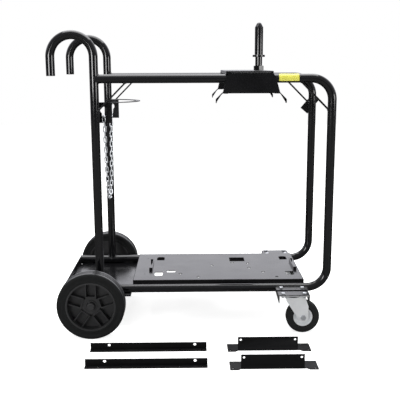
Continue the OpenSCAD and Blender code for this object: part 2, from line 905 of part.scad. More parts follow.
// Turned pin that a wire feeder turns on
module feeder_pin() {
  color(zinc) in_place() translate([pin_x, 0, 0]) rotate_extrude() polygon([
    [0, saddle_under - pin_stub], [pin_stub_r, saddle_under - pin_stub],
    [pin_stub_r, shaft_z], [pin_shaft_r, shaft_z],
    [pin_shaft_r, collar_z], [pin_collar_d / 2, collar_z], [pin_collar_d / 2, cylinder_z],
    [pin_d / 2, cylinder_z], [pin_d / 2, tip_z], [pin_d / 4, tip_z + pin_tip * 0.8],
    [pin_d / 8, tip_z + pin_tip], [0, tip_z + pin_tip]
  ]);
}

module pin_nut(z) {
  translate([pin_x, 0, z]) difference() {
    hex_prism(nut_corners, nut_height);
    translate([0, 0, -eps]) cylinder(r = pin_stub_r + seat_gap, h = nut_height + 2 * eps);
  }
}

module pin_top_nut() {
  color(black) in_place() pin_nut(nut_z);
}

module pin_bottom_nut() {
  color(black) in_place() pin_nut(saddle_under - nut_height);
}

// Keyhole: wide round top over a round-bottomed seat for the chain
module keyhole() {
  wide_z = seat_r + keyhole_d / 2;
  translate([0, -sheet, 0]) rotate([-90, 0, 0]) {
    cylinder(r = seat_r, h = 3 * sheet);
    translate([0, -wide_z, 0]) cylinder(d = keyhole_d, h = 3 * sheet);
    translate([-seat_r, -wide_z, 0]) cube([2 * seat_r, wide_z, 3 * sheet]);
  }
}

// Right-hand half of the yoke's side: chain flange and arm to the upright
module yoke_side() {
  arm_t = sheet;
  difference() {
    translate([arm_t / 2, -yoke_side_y, yoke_top - yoke_flange])
      cube([yoke_flange_reach - arm_t / 2, sheet, yoke_flange - sheet]);
    translate([chain_x, -yoke_side_y, chain_z]) keyhole();
  }
  translate([-arm_t / 2, -inner_y, yoke_top - yoke_flange])
    cube([arm_t, inner_y - yoke_side_y + sheet, yoke_flange - sheet]);
}

// Collar round the front of the gas cylinder, folded down at both sides
module cylinder_yoke() {
  color(black) in_place() {
    translate([0, 0, yoke_under]) linear_extrude(sheet) difference() {
      union() {
        translate([collar_centre, 0]) circle(collar_outer, $fn = 128);
        translate([-sheet / 2, -yoke_side_y])
          square([yoke_flange_reach + sheet / 2, 2 * yoke_side_y]);
        translate([-sheet / 2, -inner_y]) square([sheet, 2 * inner_y]);
      }
      translate([collar_centre, 0]) circle(collar_inner, $fn = 128);
      translate([-sheet / 2 - 2 * collar_outer, -collar_outer])
        square([2 * collar_outer, 2 * collar_outer]);
      translate([-collar_outer, -collar_inner]) square([collar_outer + collar_centre, 2 * collar_inner]);
    }
    yoke_side();
    left() yoke_side();
  }
}

// Hyperbolic sine and cosine of a plain number
function hsin(u) = (exp(u) - exp(-u)) / 2;
function hcos(u) = (exp(u) + exp(-u)) / 2;

// Catenary constant of the loop, found by halving the interval
function catenary(low, high, steps) =
  let (mid = (low + high) / 2)
  steps == 0 ? mid :
  2 * mid * hsin(loop_half_span / mid) > loop_length ?
    catenary(mid, high, steps - 1) : catenary(low, mid, steps - 1);

sag = catenary(15, 400, 40);

// Point of the loop at a length along it, as [y, z], bottom at length 0
function on_loop(s) =
  let (y = sag * ln(s / sag + sqrt(pow(s / sag, 2) + 1)))
  [y, chain_z - sag * (hcos(loop_half_span / sag) - hcos(y / sag))];

function link_flat(i) = i % 2 == 0;
function link_start(i) =
  -loop_length / 2 + ceil(i / 2) * flat_step + floor(i / 2) * upright_step;
function link_length(i) = link_flat(i) ? flat_step : upright_step;

// One link, lying in the X-Z plane with its length along Z
module chain_link() {
  straight = link_half - link_bow;
  for (end = [0, 1])
    rotate([0, end * 180, 0]) {
      translate([0, 0, straight]) rotate([90, 0, 0]) rotate_extrude(angle = 180)
        translate([link_bow, 0]) circle(wire_r, $fn = 24);
      translate([link_bow, 0, -straight]) cylinder(r = wire_r, h = 2 * straight, $fn = 24);
    }
}

// Link between two points given as [y, z]; flat links lie across the loop's plane
module link_between(a, b, flat) {
  lean = atan2(b[0] - a[0], b[1] - a[1]);
  translate([chain_x, (a[0] + b[0]) / 2, (a[1] + b[1]) / 2]) rotate([-lean, 0, 0])
    rotate([0, 0, flat ? 0 : 90]) chain_link();
}

module cylinder_chain() {
  reach = upright_step / 2;
  color(zinc) in_place() {
    for (i = [0 : loop_links - 1])
      link_between(on_loop(link_start(i)), on_loop(link_start(i) + link_length(i)),
        link_flat(i));
    for (y = [-flange_mid_y, flange_mid_y])
      link_between([y - reach, chain_z], [y + reach, chain_z], false);
    link_between([-flange_mid_y - reach, chain_z],
      [-flange_mid_y - reach, chain_z - flat_step], true);
  }
}

// The four bolt places of the right-hand caster, from its swivel axis
module at_caster_bolts(rows) {
  for (x = [-caster_bolt_x / 2, caster_bolt_x / 2], y = rows)
    translate([x, y * caster_bolt_y / 2, 0]) children();
}

module on_caster() {
  translate([caster_start, -caster_y, 0]) children();
}

module bolt_holes(rows) {
  at_caster_bolts(rows) translate([0, 0, plate_z - eps])
    cylinder(d = caster_bolt_d + 2 * bolt_gap, h = flange_top - plate_z + 2 * eps);
}

module rail_cope() {
  translate([0, -side_y, rail_z]) rotate([0, 90, 0])
    cylinder(r = tube_r, h = frame_length);
}

// Upper flange, welded to the bottom rail above the bracket
module caster_flange() {
  difference() {
    translate([caster_start - flange_length / 2, -flange_out_y, bracket_top])
      cube([flange_length, flange_out_y - side_y, sheet]);
    rail_cope();
    on_caster() bolt_holes([1]);
  }
}

module caster_flange_right() {
  color(black) in_place() caster_flange();
}

module caster_flange_left() {
  color(black) in_place() left() caster_flange();
}

// Side wall of the bracket, deeper at its outer end
module bracket_wall(x) {
  wall_drop = bracket_top - (rail_z - tube_r);
  translate([x, 0, bracket_top]) rotate([90, 0, 90]) linear_extrude(sheet) polygon([
    [-side_y - tube_r, 0], [-bracket_out_y, 0], [-bracket_out_y, -bracket_depth],
    [-side_y - tube_r, -wall_drop], [-side_y, -wall_drop], [-side_y, 0]
  ]);
}

// Bracket like an upturned channel over the caster plate
module caster_bracket() {
  difference() {
    union() {
      translate([caster_start - bracket_half_x, -bracket_out_y, caster_height])
        cube([2 * bracket_half_x, bracket_out_y - side_y, sheet]);
      bracket_wall(caster_start - bracket_half_x);
      bracket_wall(caster_start + bracket_half_x - sheet);
    }
    rail_cope();
    on_caster() bolt_holes([-1, 1]);
  }
}

module caster_bracket_right() {
  color(black) in_place() caster_bracket();
}

module caster_bracket_left() {
  color(black) in_place() left() caster_bracket();
}

// Hexagon bolt with its head on the given face and its shank down
module caster_bolt(top) {
  shank = top - plate_z + caster_nut + 2;
  translate([0, 0, top]) hex_prism(bolt_head_corners, bolt_head);
  translate([0, 0, top - shank]) cylinder(d = caster_bolt_d, h = shank);
}

module caster_bolts() {
  color(zinc) in_place() for (side = [0, 1]) mirror([0, side, 0]) on_caster() {
    at_caster_bolts([1]) caster_bolt(flange_top);
    at_caster_bolts([-1]) caster_bolt(bracket_top);
  }
}

module caster_nuts() {
  color(zinc) in_place() for (side = [0, 1]) mirror([0, side, 0]) on_caster()
    at_caster_bolts([-1, 1]) translate([0, 0, plate_z - caster_nut]) difference() {
      hex_prism(bolt_head_corners, caster_nut);
      translate([0, 0, -eps])
        cylinder(r = caster_bolt_d / 2 + seat_gap, h = caster_nut + 2 * eps);
    }
}

// Fixed plate with the upper ring of the swivel bearing under it
module caster_plate() {
  on_caster() difference() {
    union() {
      translate([-caster_plate_x / 2, -caster_plate_y / 2, plate_z])
        cube([caster_plate_x, caster_plate_y, sheet]);
      translate([0, 0, race_z]) cylinder(r = race_r, h = plate_z - race_z);
    }
    translate([0, 0, race_z - eps])
      cylinder(r = kingpin_r + seat_gap, h = caster_height - race_z + 2 * eps);
    bolt_holes([-1, 1]);
  }
}

module caster_plate_right() {
  color(zinc) in_place() caster_plate();
}

module caster_plate_left() {
  color(zinc) in_place() left() caster_plate();
}

module caster_kingpins() {
  head_top = crown_z - side_play;
  color(zinc) in_place() for (side = [0, 1]) mirror([0, side, 0]) on_caster() {
    translate([0, 0, head_top - kingpin_head]) cylinder(r = kingpin_head_r, h = kingpin_head);
    translate([0, 0, head_top]) cylinder(r = kingpin_r, h = caster_height - head_top);
  }
}

// Leg of the fork: straight front edge, slanting rear edge, round lower end
module fork_leg() {
  front = caster_trail + fork_round;
  bottom = [for (a = [0 : -12 : -156])
    [caster_trail + fork_round * cos(a), caster_axle_z + fork_round * sin(a)]];
  difference() {
    polygon(concat(
      [[-fork_rear, crown_z - 12], [-fork_rear, crown_top],
        [front - fork_step - fork_corner, crown_top], [front - fork_step, crown_top - fork_corner],
        [front - fork_step, crown_z - 10], [front, crown_z - 34]],
      bottom));
    translate([caster_trail, caster_axle_z]) circle(caster_axle_r + seat_gap);
  }
}

module caster_fork() {
  crown_length = fork_rear + caster_trail + fork_round - fork_step - fork_corner;
  on_caster() {
    translate([0, -fork_out, 0]) upright_sheet(sheet) fork_leg();
    translate([0, fork_gap, 0]) upright_sheet(sheet) fork_leg();
    translate([0, 0, crown_z]) difference() {
      union() {
        translate([-fork_rear, -fork_gap, 0])
          cube([crown_length, 2 * fork_gap, sheet]);
        intersection() {
          cylinder(r = crown_r, h = sheet);
          translate([-crown_r, -fork_gap, 0]) cube([crown_r, 2 * fork_gap, sheet]);
        }
      }
      translate([0, 0, -eps]) cylinder(r = kingpin_r + running_gap, h = sheet + 2 * eps);
    }
  }
}

module caster_fork_right() {
  color(zinc) in_place() caster_fork();
}

module caster_fork_left() {
  color(zinc) in_place() left() caster_fork();
}

module on_caster_axle() {
  on_caster() translate([caster_trail, 0, caster_axle_z]) rotate([90, 0, 0]) children();
}

module caster_rim() {
  half = caster_width / 2;
  hub_half = fork_gap - side_play;
  on_caster_axle() difference() {
    union() {
      translate([0, 0, 2 - half]) cylinder(r = caster_rim_r, h = caster_width - 4);
      translate([0, 0, -hub_half]) cylinder(r = caster_axle_r + 6, h = 2 * hub_half);
    }
    for (z = [4, -half - eps])
      translate([0, 0, z]) difference() {
        cylinder(r = caster_rim_r - 4, h = half - 4 + eps);
        translate([0, 0, -eps]) cylinder(r = caster_axle_r + 6, h = half);
      }
    translate([0, 0, -fork_out])
      cylinder(r = caster_axle_r + running_gap, h = 2 * fork_out);
  }
}

module caster_rim_right() {
  color(zinc) in_place() caster_rim();
}

module caster_rim_left() {
  color(zinc) in_place() left() caster_rim();
}

module caster_tyre() {
  on_caster_axle() translate([0, 0, -caster_width / 2])
    tyre_ring(caster_rim_r, caster_r, caster_width, caster_width / 4);
}

module caster_tyre_right() {
  color(rubber) in_place() caster_tyre();
}

module caster_tyre_left() {
  color(rubber) in_place() left() caster_tyre();
}

// Axle bolt with its head outside one leg and a nut outside the other
module caster_axle() {
  head = 5;
  corners = caster_axle_d * 1.8;
  on_caster_axle() {
    translate([0, 0, -fork_out - head]) cylinder(r = caster_axle_r, h = 2 * fork_out + 2 * head + 2);
    translate([0, 0, fork_out]) hex_prism(corners, head);
    translate([0, 0, -fork_out - head]) hex_prism(corners, head);
  }
}

module caster_axle_right() {
  color(zinc) in_place() caster_axle();
}

module caster_axle_left() {
  color(zinc) in_place() left() caster_axle();
}

// Angle strip lying on one leg, with its other leg upright at the back
module angle_strip() {
  hole_start = (strip_length - strip_hole_gap) / 2 + 12;
  difference() {
    union() {
      cube([strip_length, strip_leg, sheet]);
      translate([0, strip_leg - sheet, 0]) cube([strip_length, sheet, strip_leg]);
    }
    for (x = [hole_start, hole_start + strip_hole_gap])
      translate([x, strip_leg + eps, strip_leg * 0.68]) rotate([90, 0, 0])
        cylinder(d = strip_hole_d, h = sheet + 2 * eps);
    for (share = [0.025, 0.11, 0.295, 0.77, 0.955])
      translate([share * strip_length, strip_leg * 0.38, -eps])
        cylinder(d = strip_small_d, h = sheet + 2 * eps);
  }
}

module angle_strip_rear() {
  color(black) in_place() translate([strip_x, strip_y, 0]) angle_strip();
}

module angle_strip_front() {
  color(black) in_place() translate([strip_x, strip_y - strip_pitch, 0]) angle_strip();
}

// Flat base with a foot at each end; its front edge between them is folded up
module hat_bracket() {
  right = hat_left + hat_plate;
  plate_hole_z = hat_height - hat_edge;
  difference() {
    union() {
      linear_extrude(sheet) polygon([
        [0, 0], [hat_left - hat_lip, 0], [hat_left, hat_lip], [right + hat_lip, hat_lip],
        [right + 2 * hat_lip, 0], [hat_length, 0], [hat_length, hat_depth], [0, hat_depth]
      ]);
      translate([hat_left, hat_lip, 0]) cube([hat_plate, sheet, hat_height]);
    }
    for (x = [hat_edge, hat_length - hat_edge])
      translate([x, hat_edge, -eps]) cylinder(d = hat_hole_d, h = sheet + 2 * eps);
    for (x = [hat_left + hat_edge, right - hat_edge])
      translate([x, hat_lip + sheet + eps, plate_hole_z]) rotate([90, 0, 0])
        cylinder(d = hat_hole_d, h = sheet + 2 * eps);
  }
}

module hat_bracket_rear() {
  color(black) in_place() translate([hat_x, hat_y, 0]) hat_bracket();
}

module hat_bracket_front() {
  color(black) in_place() translate([hat_x, hat_y - hat_pitch, 0]) hat_bracket();
}

// Thin plain wrap round the outer side of the right top rail
module plain_decal() {
  film = 0.25;
  color("#e8df3c") in_place() translate([decal_start, -side_y, top_z])
    rotate([0, 90, 0]) rotate([0, 0, 165]) rotate_extrude(angle = 140)
      translate([tube_r + seat_gap, 0]) square([film, decal_length]);
}

side_loop_right();
side_loop_left();
rear_upright_right();
rear_upright_left();
tube_end_plugs();
rear_brace_right();
rear_brace_left();
front_brace_right();
front_brace_left();
hanger_plate();
deck_plate();
front_cross_rail();
rear_cross_rail();
deck_screws();
cylinder_tray();
axle_plate_right();
axle_plate_left();
rear_axle();
axle_spacers();
axle_washers();
axle_caps();
rear_tyre_right();
rear_tyre_left();
rear_hub_right();
rear_hub_left();
feeder_saddle();
saddle_cheek_right();
saddle_cheek_left();
cable_hooks();
feeder_pin();
pin_top_nut();
pin_bottom_nut();
cylinder_yoke();
cylinder_chain();
caster_flange_right();
caster_flange_left();
caster_bracket_right();
caster_bracket_left();
caster_bolts();
caster_nuts();
caster_plate_right();
caster_plate_left();
caster_kingpins();
caster_fork_right();
caster_fork_left();
caster_rim_right();
caster_rim_left();
caster_tyre_right();
caster_tyre_left();
caster_axle_right();
caster_axle_left();
angle_strip_rear();
angle_strip_front();
hat_bracket_rear();
hat_bracket_front();
plain_decal();
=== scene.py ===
import math
import random

import bmesh
import bpy
from mathutils import Matrix, Vector


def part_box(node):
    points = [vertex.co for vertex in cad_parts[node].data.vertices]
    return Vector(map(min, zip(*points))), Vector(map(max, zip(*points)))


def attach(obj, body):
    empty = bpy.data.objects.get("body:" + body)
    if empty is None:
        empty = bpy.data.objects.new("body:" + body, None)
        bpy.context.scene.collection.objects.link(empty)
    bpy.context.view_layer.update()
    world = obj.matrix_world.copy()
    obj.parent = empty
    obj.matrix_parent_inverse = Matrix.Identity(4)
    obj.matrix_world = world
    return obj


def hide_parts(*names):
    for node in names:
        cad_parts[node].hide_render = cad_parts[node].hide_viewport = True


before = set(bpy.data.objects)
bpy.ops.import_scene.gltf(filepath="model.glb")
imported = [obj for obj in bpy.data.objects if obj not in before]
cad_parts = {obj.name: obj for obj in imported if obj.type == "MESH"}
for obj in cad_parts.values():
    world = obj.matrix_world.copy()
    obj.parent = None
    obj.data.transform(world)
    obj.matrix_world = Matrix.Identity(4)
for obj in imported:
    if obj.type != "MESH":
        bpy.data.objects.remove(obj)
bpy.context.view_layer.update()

# ---------------------------------------------------------------- room
# A white studio: one broad soft lamp overhead, two wide, low panels in front, and a
# bright wall behind, above knee height, which gloss surfaces mirror at a low angle.
scene = bpy.context.scene
scene.view_settings.view_transform = "Standard"


def linear(code):
    """Linear colour of an sRGB hex code such as 1C1C1E."""
    parts = [int(code[i:i + 2], 16) / 255 for i in (0, 2, 4)]
    return [p / 12.92 if p <= 0.04045 else ((p + 0.055) / 1.055) ** 2.4 for p in parts] + [1]


def add_node(tree, kind, inputs=None, **settings):
    """Adds a node; an input takes a value, or the socket or node that feeds it."""
    node = tree.nodes.new(kind)
    for name, value in settings.items():
        setattr(node, name, value)
    for name, value in (inputs or {}).items():
        if isinstance(value, bpy.types.Node):
            value = value.outputs[0]
        if isinstance(value, bpy.types.NodeSocket):
            tree.links.new(value, node.inputs[name])
        else:
            node.inputs[name].default_value = value
    return node


def light_paths(tree):
    """Two factors: seen straight or through something clear, and seen in a gloss surface."""
    ray = add_node(tree, "ShaderNodeLightPath").outputs
    seen = add_node(tree, "ShaderNodeMath", {
        0: ray["Is Camera Ray"], 1: ray["Is Transmission Ray"]}, operation="MAXIMUM")
    return seen, ray["Is Glossy Ray"]


def axes(tree, coordinate):
    """The X, Y and Z of a texture coordinate."""
    place = add_node(tree, "ShaderNodeTexCoord").outputs[coordinate]
    return add_node(tree, "ShaderNodeSeparateXYZ", {"Vector": place}).outputs


def add_object(name, data):
    """Puts a mesh, lamp or camera into the scene."""
    thing = bpy.data.objects.new(name, data)
    scene.collection.objects.link(thing)
    return thing


world = bpy.data.worlds.new("white_room")
scene.world = world
world.use_nodes = True
room = world.node_tree
room.nodes.clear()
seen, in_gloss = light_paths(room)
way = axes(room, "Generated")
depth = add_node(room, "ShaderNodeMapRange", {
    "Value": way["Y"], "From Min": -0.3, "From Max": 0.6, "To Min": 0.45, "To Max": 1.75})
height = add_node(room, "ShaderNodeMapRange", {
    "Value": way["Z"], "From Min": 0.04, "From Max": 0.24, "To Min": 0.2, "To Max": 1.0})
bright = add_node(room, "ShaderNodeMath", {0: depth, 1: height}, operation="MULTIPLY")
wall = add_node(room, "ShaderNodeBackground", {"Color": linear("F8F8FF"), "Strength": bright})
soft = add_node(room, "ShaderNodeBackground", {"Color": linear("FFFFFF"), "Strength": 0.45})
lighting = add_node(room, "ShaderNodeMixShader", {0: in_gloss, 1: soft, 2: wall})
white = add_node(room, "ShaderNodeBackground", {"Color": linear("FFFFFF"), "Strength": 1.0})
shown = add_node(room, "ShaderNodeMixShader", {0: seen, 1: lighting, 2: white})
add_node(room, "ShaderNodeOutputWorld", {"Surface": shown})


def add_lamp(name, place, target, size, power):
    """A soft rectangular lamp that faces its target."""
    data = bpy.data.lights.new(name, "AREA")
    data.shape = "RECTANGLE"
    data.size, data.size_y = size
    data.energy = power
    lamp = add_object(name, data)
    lamp.location = place
    lamp.rotation_euler = (Vector(target) - Vector(place)).to_track_quat("-Z", "Y").to_euler()


chest = (0.0, 0.0, 1.0)
add_lamp("overhead", (0.0, 0.7, 3.2), target=(0.0, 0.7, 0.0), size=(3.0, 3.0), power=125)
add_lamp("panel_left", (-2.4, -4.2, 1.0), target=chest, size=(1.9, 0.6), power=62)
add_lamp("panel_right", (3.7, -2.3, 1.0), target=chest, size=(1.8, 0.6), power=34)

# ---------------------------------------------------------------- floor
# A matt white floor, which also glows a little where it is seen straight. Gloss surfaces
# mirror it as a dim floor that fades towards the back.
floor_half = 9


def new_material(name):
    """An empty node material, with its tree."""
    material = bpy.data.materials.new(name)
    material.use_nodes = True
    material.node_tree.nodes.clear()
    return material, material.node_tree


floor_mesh = bpy.data.meshes.new("floor")
floor_mesh.from_pydata([(x * floor_half, y * floor_half, 0)
                        for x, y in ((-1, -1), (1, -1), (1, 1), (-1, 1))], [], [(0, 1, 2, 3)])
floor_paint, tree = new_material("white_floor")
seen, in_gloss = light_paths(tree)
matt = add_node(tree, "ShaderNodeBsdfDiffuse", {"Color": linear("F2F2F2")})
glow = add_node(tree, "ShaderNodeEmission", {"Color": linear("FFFFFF"), "Strength": 0.80})
lit = add_node(tree, "ShaderNodeAddShader", {0: matt, 1: glow})
fade = add_node(tree, "ShaderNodeMapRange", {
    "Value": axes(tree, "Object")["Y"], "From Min": -0.9, "From Max": 0.6,
    "To Min": 0.35, "To Max": 0.08})
dim = add_node(tree, "ShaderNodeEmission", {"Color": linear("FFFFFF"), "Strength": fade})
below = add_node(tree, "ShaderNodeMixShader", {0: in_gloss, 1: matt, 2: dim})
shown = add_node(tree, "ShaderNodeMixShader", {0: seen, 1: below, 2: lit})
add_node(tree, "ShaderNodeOutputMaterial", {"Surface": shown})
floor_mesh.materials.append(floor_paint)
add_object("floor", floor_mesh)

# ---------------------------------------------------------------- camera
# It stands 2.6 m off the trolley's right side, a metre up, and looks 11 degrees down
# through a 63 mm lens. Its turn, dip and lean are in radians.
eye = Vector((-0.0164, -2.6295, 0.9944))
turn, dip, lean = 0.0137, 0.1923, -0.0036
ahead = Vector((math.sin(turn) * math.cos(dip), math.cos(turn) * math.cos(dip), -math.sin(dip)))
level = Vector((math.cos(turn), -math.sin(turn), 0))
over = level.cross(ahead)
side = math.cos(lean) * level + math.sin(lean) * over
top = math.cos(lean) * over - math.sin(lean) * level
lens = bpy.data.cameras.new("camera")
lens.lens = 62.706
lens.sensor_width = 36
lens.clip_end = 60
camera = add_object("camera", lens)
camera.matrix_world = Matrix.Translation(eye) @ Matrix((side, top, -ahead)).transposed().to_4x4()
scene.camera = camera

# ---------------------------------------------------------------- bent tubes
# Each side is one mandrel-bent steel tube, closed at the back by an upright that ends in
# a hooked push handle. They are welded, then coated in gloss black powder, which mirrors
# the lamps in long, clear lines and has a faint orange peel.
tube_radius = 16
side_y = 210
rail_z, base_z = 944, 154
rail_start, base_end = 3, -137
front_x, bend_radius = 865, 78
upright_foot, handle_end = 157, 957
hook_radius, hook_z = 77.5, 1022.5
right_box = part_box("rear_upright_right")
left_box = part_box("rear_upright_left")
origin = Vector((right_box[1][0] - tube_radius / 1000,
                 (right_box[0][1] + left_box[1][1]) / 2, 0))


def spot(x, y, z):
    """A place given in millimetres from the floor point midway between the uprights."""
    return origin + Vector((x, y, z)) / 1000


def clouded(tree, place, scale, detail, shades, roughnesses):
    """A colour and a roughness that drift between two values, in clouds so many to the metre."""
    cloud = add_node(tree, "ShaderNodeTexNoise", {
        "Vector": place, "Scale": scale, "Detail": detail})
    shade = add_node(tree, "ShaderNodeMixRGB", {
        0: cloud, 1: linear(shades[0]), 2: linear(shades[1])})
    roughness = add_node(tree, "ShaderNodeMapRange", {
        "Value": cloud, "From Min": 0.3, "From Max": 0.7, "To Min": roughnesses[0],
        "To Max": roughnesses[1]})
    return shade, roughness


def grained(tree, place, scale, detail, strength, depth):
    """Fine grain, so many to the metre, with that many millimetres of relief."""
    grain = add_node(tree, "ShaderNodeTexNoise", {
        "Vector": place, "Scale": scale, "Detail": detail})
    return add_node(tree, "ShaderNodeBump", {
        "Height": grain, "Strength": strength, "Distance": depth / 1000})


def end_material(tree, sockets):
    """Closes a material with one shader that has these sockets."""
    shader = add_node(tree, "ShaderNodeBsdfPrincipled", sockets)
    add_node(tree, "ShaderNodeOutputMaterial", {"Surface": shader.outputs[0]})


def powder_coat(name, dark, light, low, high, peel, sheen=0.5):
    """Powder coat between two shades and two roughnesses, with peel millimetres of relief."""
    material, tree = new_material(name)
    place = add_node(tree, "ShaderNodeTexCoord").outputs["Object"]
    shade, roughness = clouded(tree, place, 11, 5, (dark, light), (low, high))
    specks = add_node(tree, "ShaderNodeTexNoise", {"Vector": place, "Scale": 950, "Detail": 1})
    dust = add_node(tree, "ShaderNodeMapRange", {
        "Value": specks, "From Min": 0.72, "From Max": 0.82, "To Min": 0.0, "To Max": 0.2})
    dusty = add_node(tree, "ShaderNodeMixRGB", {0: dust, 1: shade, 2: linear("4A4A4D")})
    end_material(tree, {
        "Base Color": dusty, "Roughness": roughness,
        "Normal": grained(tree, place, 430, 2, 0.35, peel), "IOR": 1.45,
        "Specular IOR Level": sheen})
    return material


black_coat = powder_coat("gloss_black_powder_coat", "09090A", "101012", 0.08, 0.13, 0.008)


def mount_piece(piece, material, body, slot, *replaced):
    """Coats a finished piece, hangs it on its body and hides the CAD nodes it stands for."""
    piece.data.materials.clear()
    piece.data.materials.append(material)
    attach(piece, body)
    if replaced:
        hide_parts(*replaced)


def settle(piece):
    """Turns a piece's modifiers into plain mesh and removes them."""
    result = bpy.data.meshes.new_from_object(
        piece.evaluated_get(bpy.context.evaluated_depsgraph_get()))
    result.name = piece.name
    piece.modifiers.clear()
    piece.data = result
    return piece


def new_tree(name, **inputs):
    """A geometry node tree with a mesh input, the named inputs and a mesh output."""
    tree = bpy.data.node_groups.new(name, "GeometryNodeTree")
    tree.interface.new_socket("Geometry", in_out="INPUT", socket_type="NodeSocketGeometry")
    for label, kind in inputs.items():
        tree.interface.new_socket(label, in_out="INPUT", socket_type="NodeSocket" + kind)
    tree.interface.new_socket("Geometry", in_out="OUTPUT", socket_type="NodeSocketGeometry")
    return tree, add_node(tree, "NodeGroupInput").outputs


def end_tree(tree, geometry, material):
    """Closes a tree: instances become mesh, and the mesh gets its material."""
    real = add_node(tree, "GeometryNodeRealizeInstances", {"Geometry": geometry})
    made = add_node(tree, "GeometryNodeSetMaterial", {
        "Geometry": real.outputs[0], "Material": material})
    add_node(tree, "NodeGroupOutput", {0: made.outputs[0]})


def grow(name, tree, points, edges, fields=None, **inputs):
    """Runs a tree on points in metres; fields are vectors stored on the points."""
    mesh = bpy.data.meshes.new(name)
    mesh.from_pydata(points, edges, [])
    for label, values in (fields or {}).items():
        layer = mesh.attributes.new(label, "FLOAT_VECTOR", "POINT")
        layer.data.foreach_set("vector", [part for value in values for part in value])
    piece = add_object(name, mesh)
    modifier = piece.modifiers.new("grown", "NODES")
    modifier.node_group = tree
    for item in tree.interface.items_tree:
        if item.name in inputs:
            modifier[item.identifier] = inputs[item.name]
    return settle(piece)


def in_a_row(count, closed=False):
    """Edges that join points in a row, or in a ring."""
    return [(i, i + 1) for i in range(count - 1)] + ([(count - 1, 0)] if closed else [])


tube_tree, given = new_tree("bent_tube", Radius="Float", Sides="Int", Material="Material")
path = add_node(tube_tree, "GeometryNodeMeshToCurve", {"Mesh": given["Geometry"]})
ring = add_node(tube_tree, "GeometryNodeCurvePrimitiveCircle", {
    "Resolution": given["Sides"], "Radius": given["Radius"]})
swept = add_node(tube_tree, "GeometryNodeCurveToMesh", {
    "Curve": path.outputs[0], "Profile Curve": ring.outputs[0], "Fill Caps": True})
end_tree(tube_tree, swept.outputs[0], given["Material"])


def arc(x, y, z, radius, start, sweep):
    """Points three degrees apart on a bend in a side frame's plane, from +X upwards."""
    count = round(abs(sweep) / 3)
    angles = [math.radians(start + sweep * i / count) for i in range(count + 1)]
    return [spot(x + radius * math.cos(a), y, z + radius * math.sin(a)) for a in angles]


def bend_tube(name, points, node):
    """A tube along its axis stands for one CAD tube."""
    piece = grow(name, tube_tree, points, in_a_row(len(points)), Radius=tube_radius / 1000,
                 Sides=56, Material=black_coat)
    piece.data.shade_smooth()
    piece.data.set_sharp_from_angle(angle=math.radians(40))
    mount_piece(piece, black_coat, "cart", "black_powder_coat", node)


bend_x = front_x - bend_radius
for hand, y in (("right", -side_y), ("left", side_y)):
    bend_tube("bent_side_loop_" + hand,
              [spot(rail_start, y, rail_z)]
              + arc(bend_x, y, rail_z - bend_radius, bend_radius, 90, -90)
              + arc(bend_x, y, base_z + bend_radius, bend_radius, 0, -90)
              + [spot(base_end, y, base_z)], "side_loop_" + hand)
    bend_tube("bent_upright_" + hand,
              [spot(0, y, upright_foot)] + arc(-hook_radius, y, hook_z, hook_radius, 0, 180)
              + [spot(-2 * hook_radius, y, handle_end)], "rear_upright_" + hand)

# ---------------------------------------------------------------- weld beads
# Every joint in the frame is MIG welded. A bead is a row of overlapping ripples 1.8 mm
# apart, laid in the corner between two parts, thinner at its ends, and coated with them.
bead_radius, ripple, bead_step, end_taper = 0.0022, 0.0018, 0.0006, 0.003
bead_tree, given = new_tree("weld_bead", Size="Float", Ripple="Float", Material="Material")
path = add_node(bead_tree, "GeometryNodeMeshToCurve", {"Mesh": given["Geometry"]})
fine = add_node(bead_tree, "GeometryNodeResampleCurve", {
    "Curve": path.outputs[0], "Length": bead_step}, mode="LENGTH")
along = add_node(bead_tree, "GeometryNodeSplineParameter").outputs["Length"]
whole = add_node(bead_tree, "GeometryNodeSplineLength").outputs["Length"]
laps = add_node(bead_tree, "ShaderNodeMath", {0: along, 1: given["Ripple"]}, operation="DIVIDE")
saw = add_node(bead_tree, "ShaderNodeMath", {0: laps}, operation="FRACT")
wave = add_node(bead_tree, "ShaderNodeMapRange", {
    "Value": saw, "From Min": 0.0, "From Max": 1.0, "To Min": 1.0, "To Max": 0.80})
wander = add_node(bead_tree, "ShaderNodeTexNoise", {"Scale": 160.0, "Detail": 1.0})
uneven = add_node(bead_tree, "ShaderNodeMapRange", {
    "Value": wander, "From Min": 0.3, "From Max": 0.7, "To Min": 0.86, "To Max": 1.1})
body = add_node(bead_tree, "ShaderNodeMath", {0: wave, 1: uneven}, operation="MULTIPLY")
rest = add_node(bead_tree, "ShaderNodeMath", {0: whole, 1: along}, operation="SUBTRACT")
near_end = add_node(bead_tree, "ShaderNodeMath", {0: rest, 1: along}, operation="MINIMUM")
taper = add_node(bead_tree, "ShaderNodeMapRange", {
    "Value": near_end, "From Min": 0.0, "From Max": end_taper, "To Min": 0.35, "To Max": 1.0})
width = add_node(bead_tree, "ShaderNodeMath", {0: body, 1: taper}, operation="MULTIPLY")
ring = add_node(bead_tree, "GeometryNodeCurvePrimitiveCircle", {
    "Resolution": 8, "Radius": given["Size"]})
swept = add_node(bead_tree, "GeometryNodeCurveToMesh", {
    "Curve": fine.outputs[0], "Profile Curve": ring.outputs[0], "Scale": width,
    "Fill Caps": True})
end_tree(bead_tree, swept.outputs[0], given["Material"])

beads = []


def lay_bead(*points):
    """Keeps a bead's corner line, in millimetres, for both sides of the trolley."""
    beads.extend([points, [(x, -y, z) for x, y, z in points]])


def run(first, last):
    """Eleven evenly spaced numbers."""
    return [first + (last - first) * i / 10 for i in range(11)]


def half_chord(offset):
    """How far a tube's surface stands from its middle plane at that offset."""
    return math.sqrt(tube_radius ** 2 - offset ** 2)


# The cheeks along the saddle's fold
cheek_y, fold_z = 226.9, 963.4
lay_bead((494, cheek_y, fold_z), (640, cheek_y, fold_z))
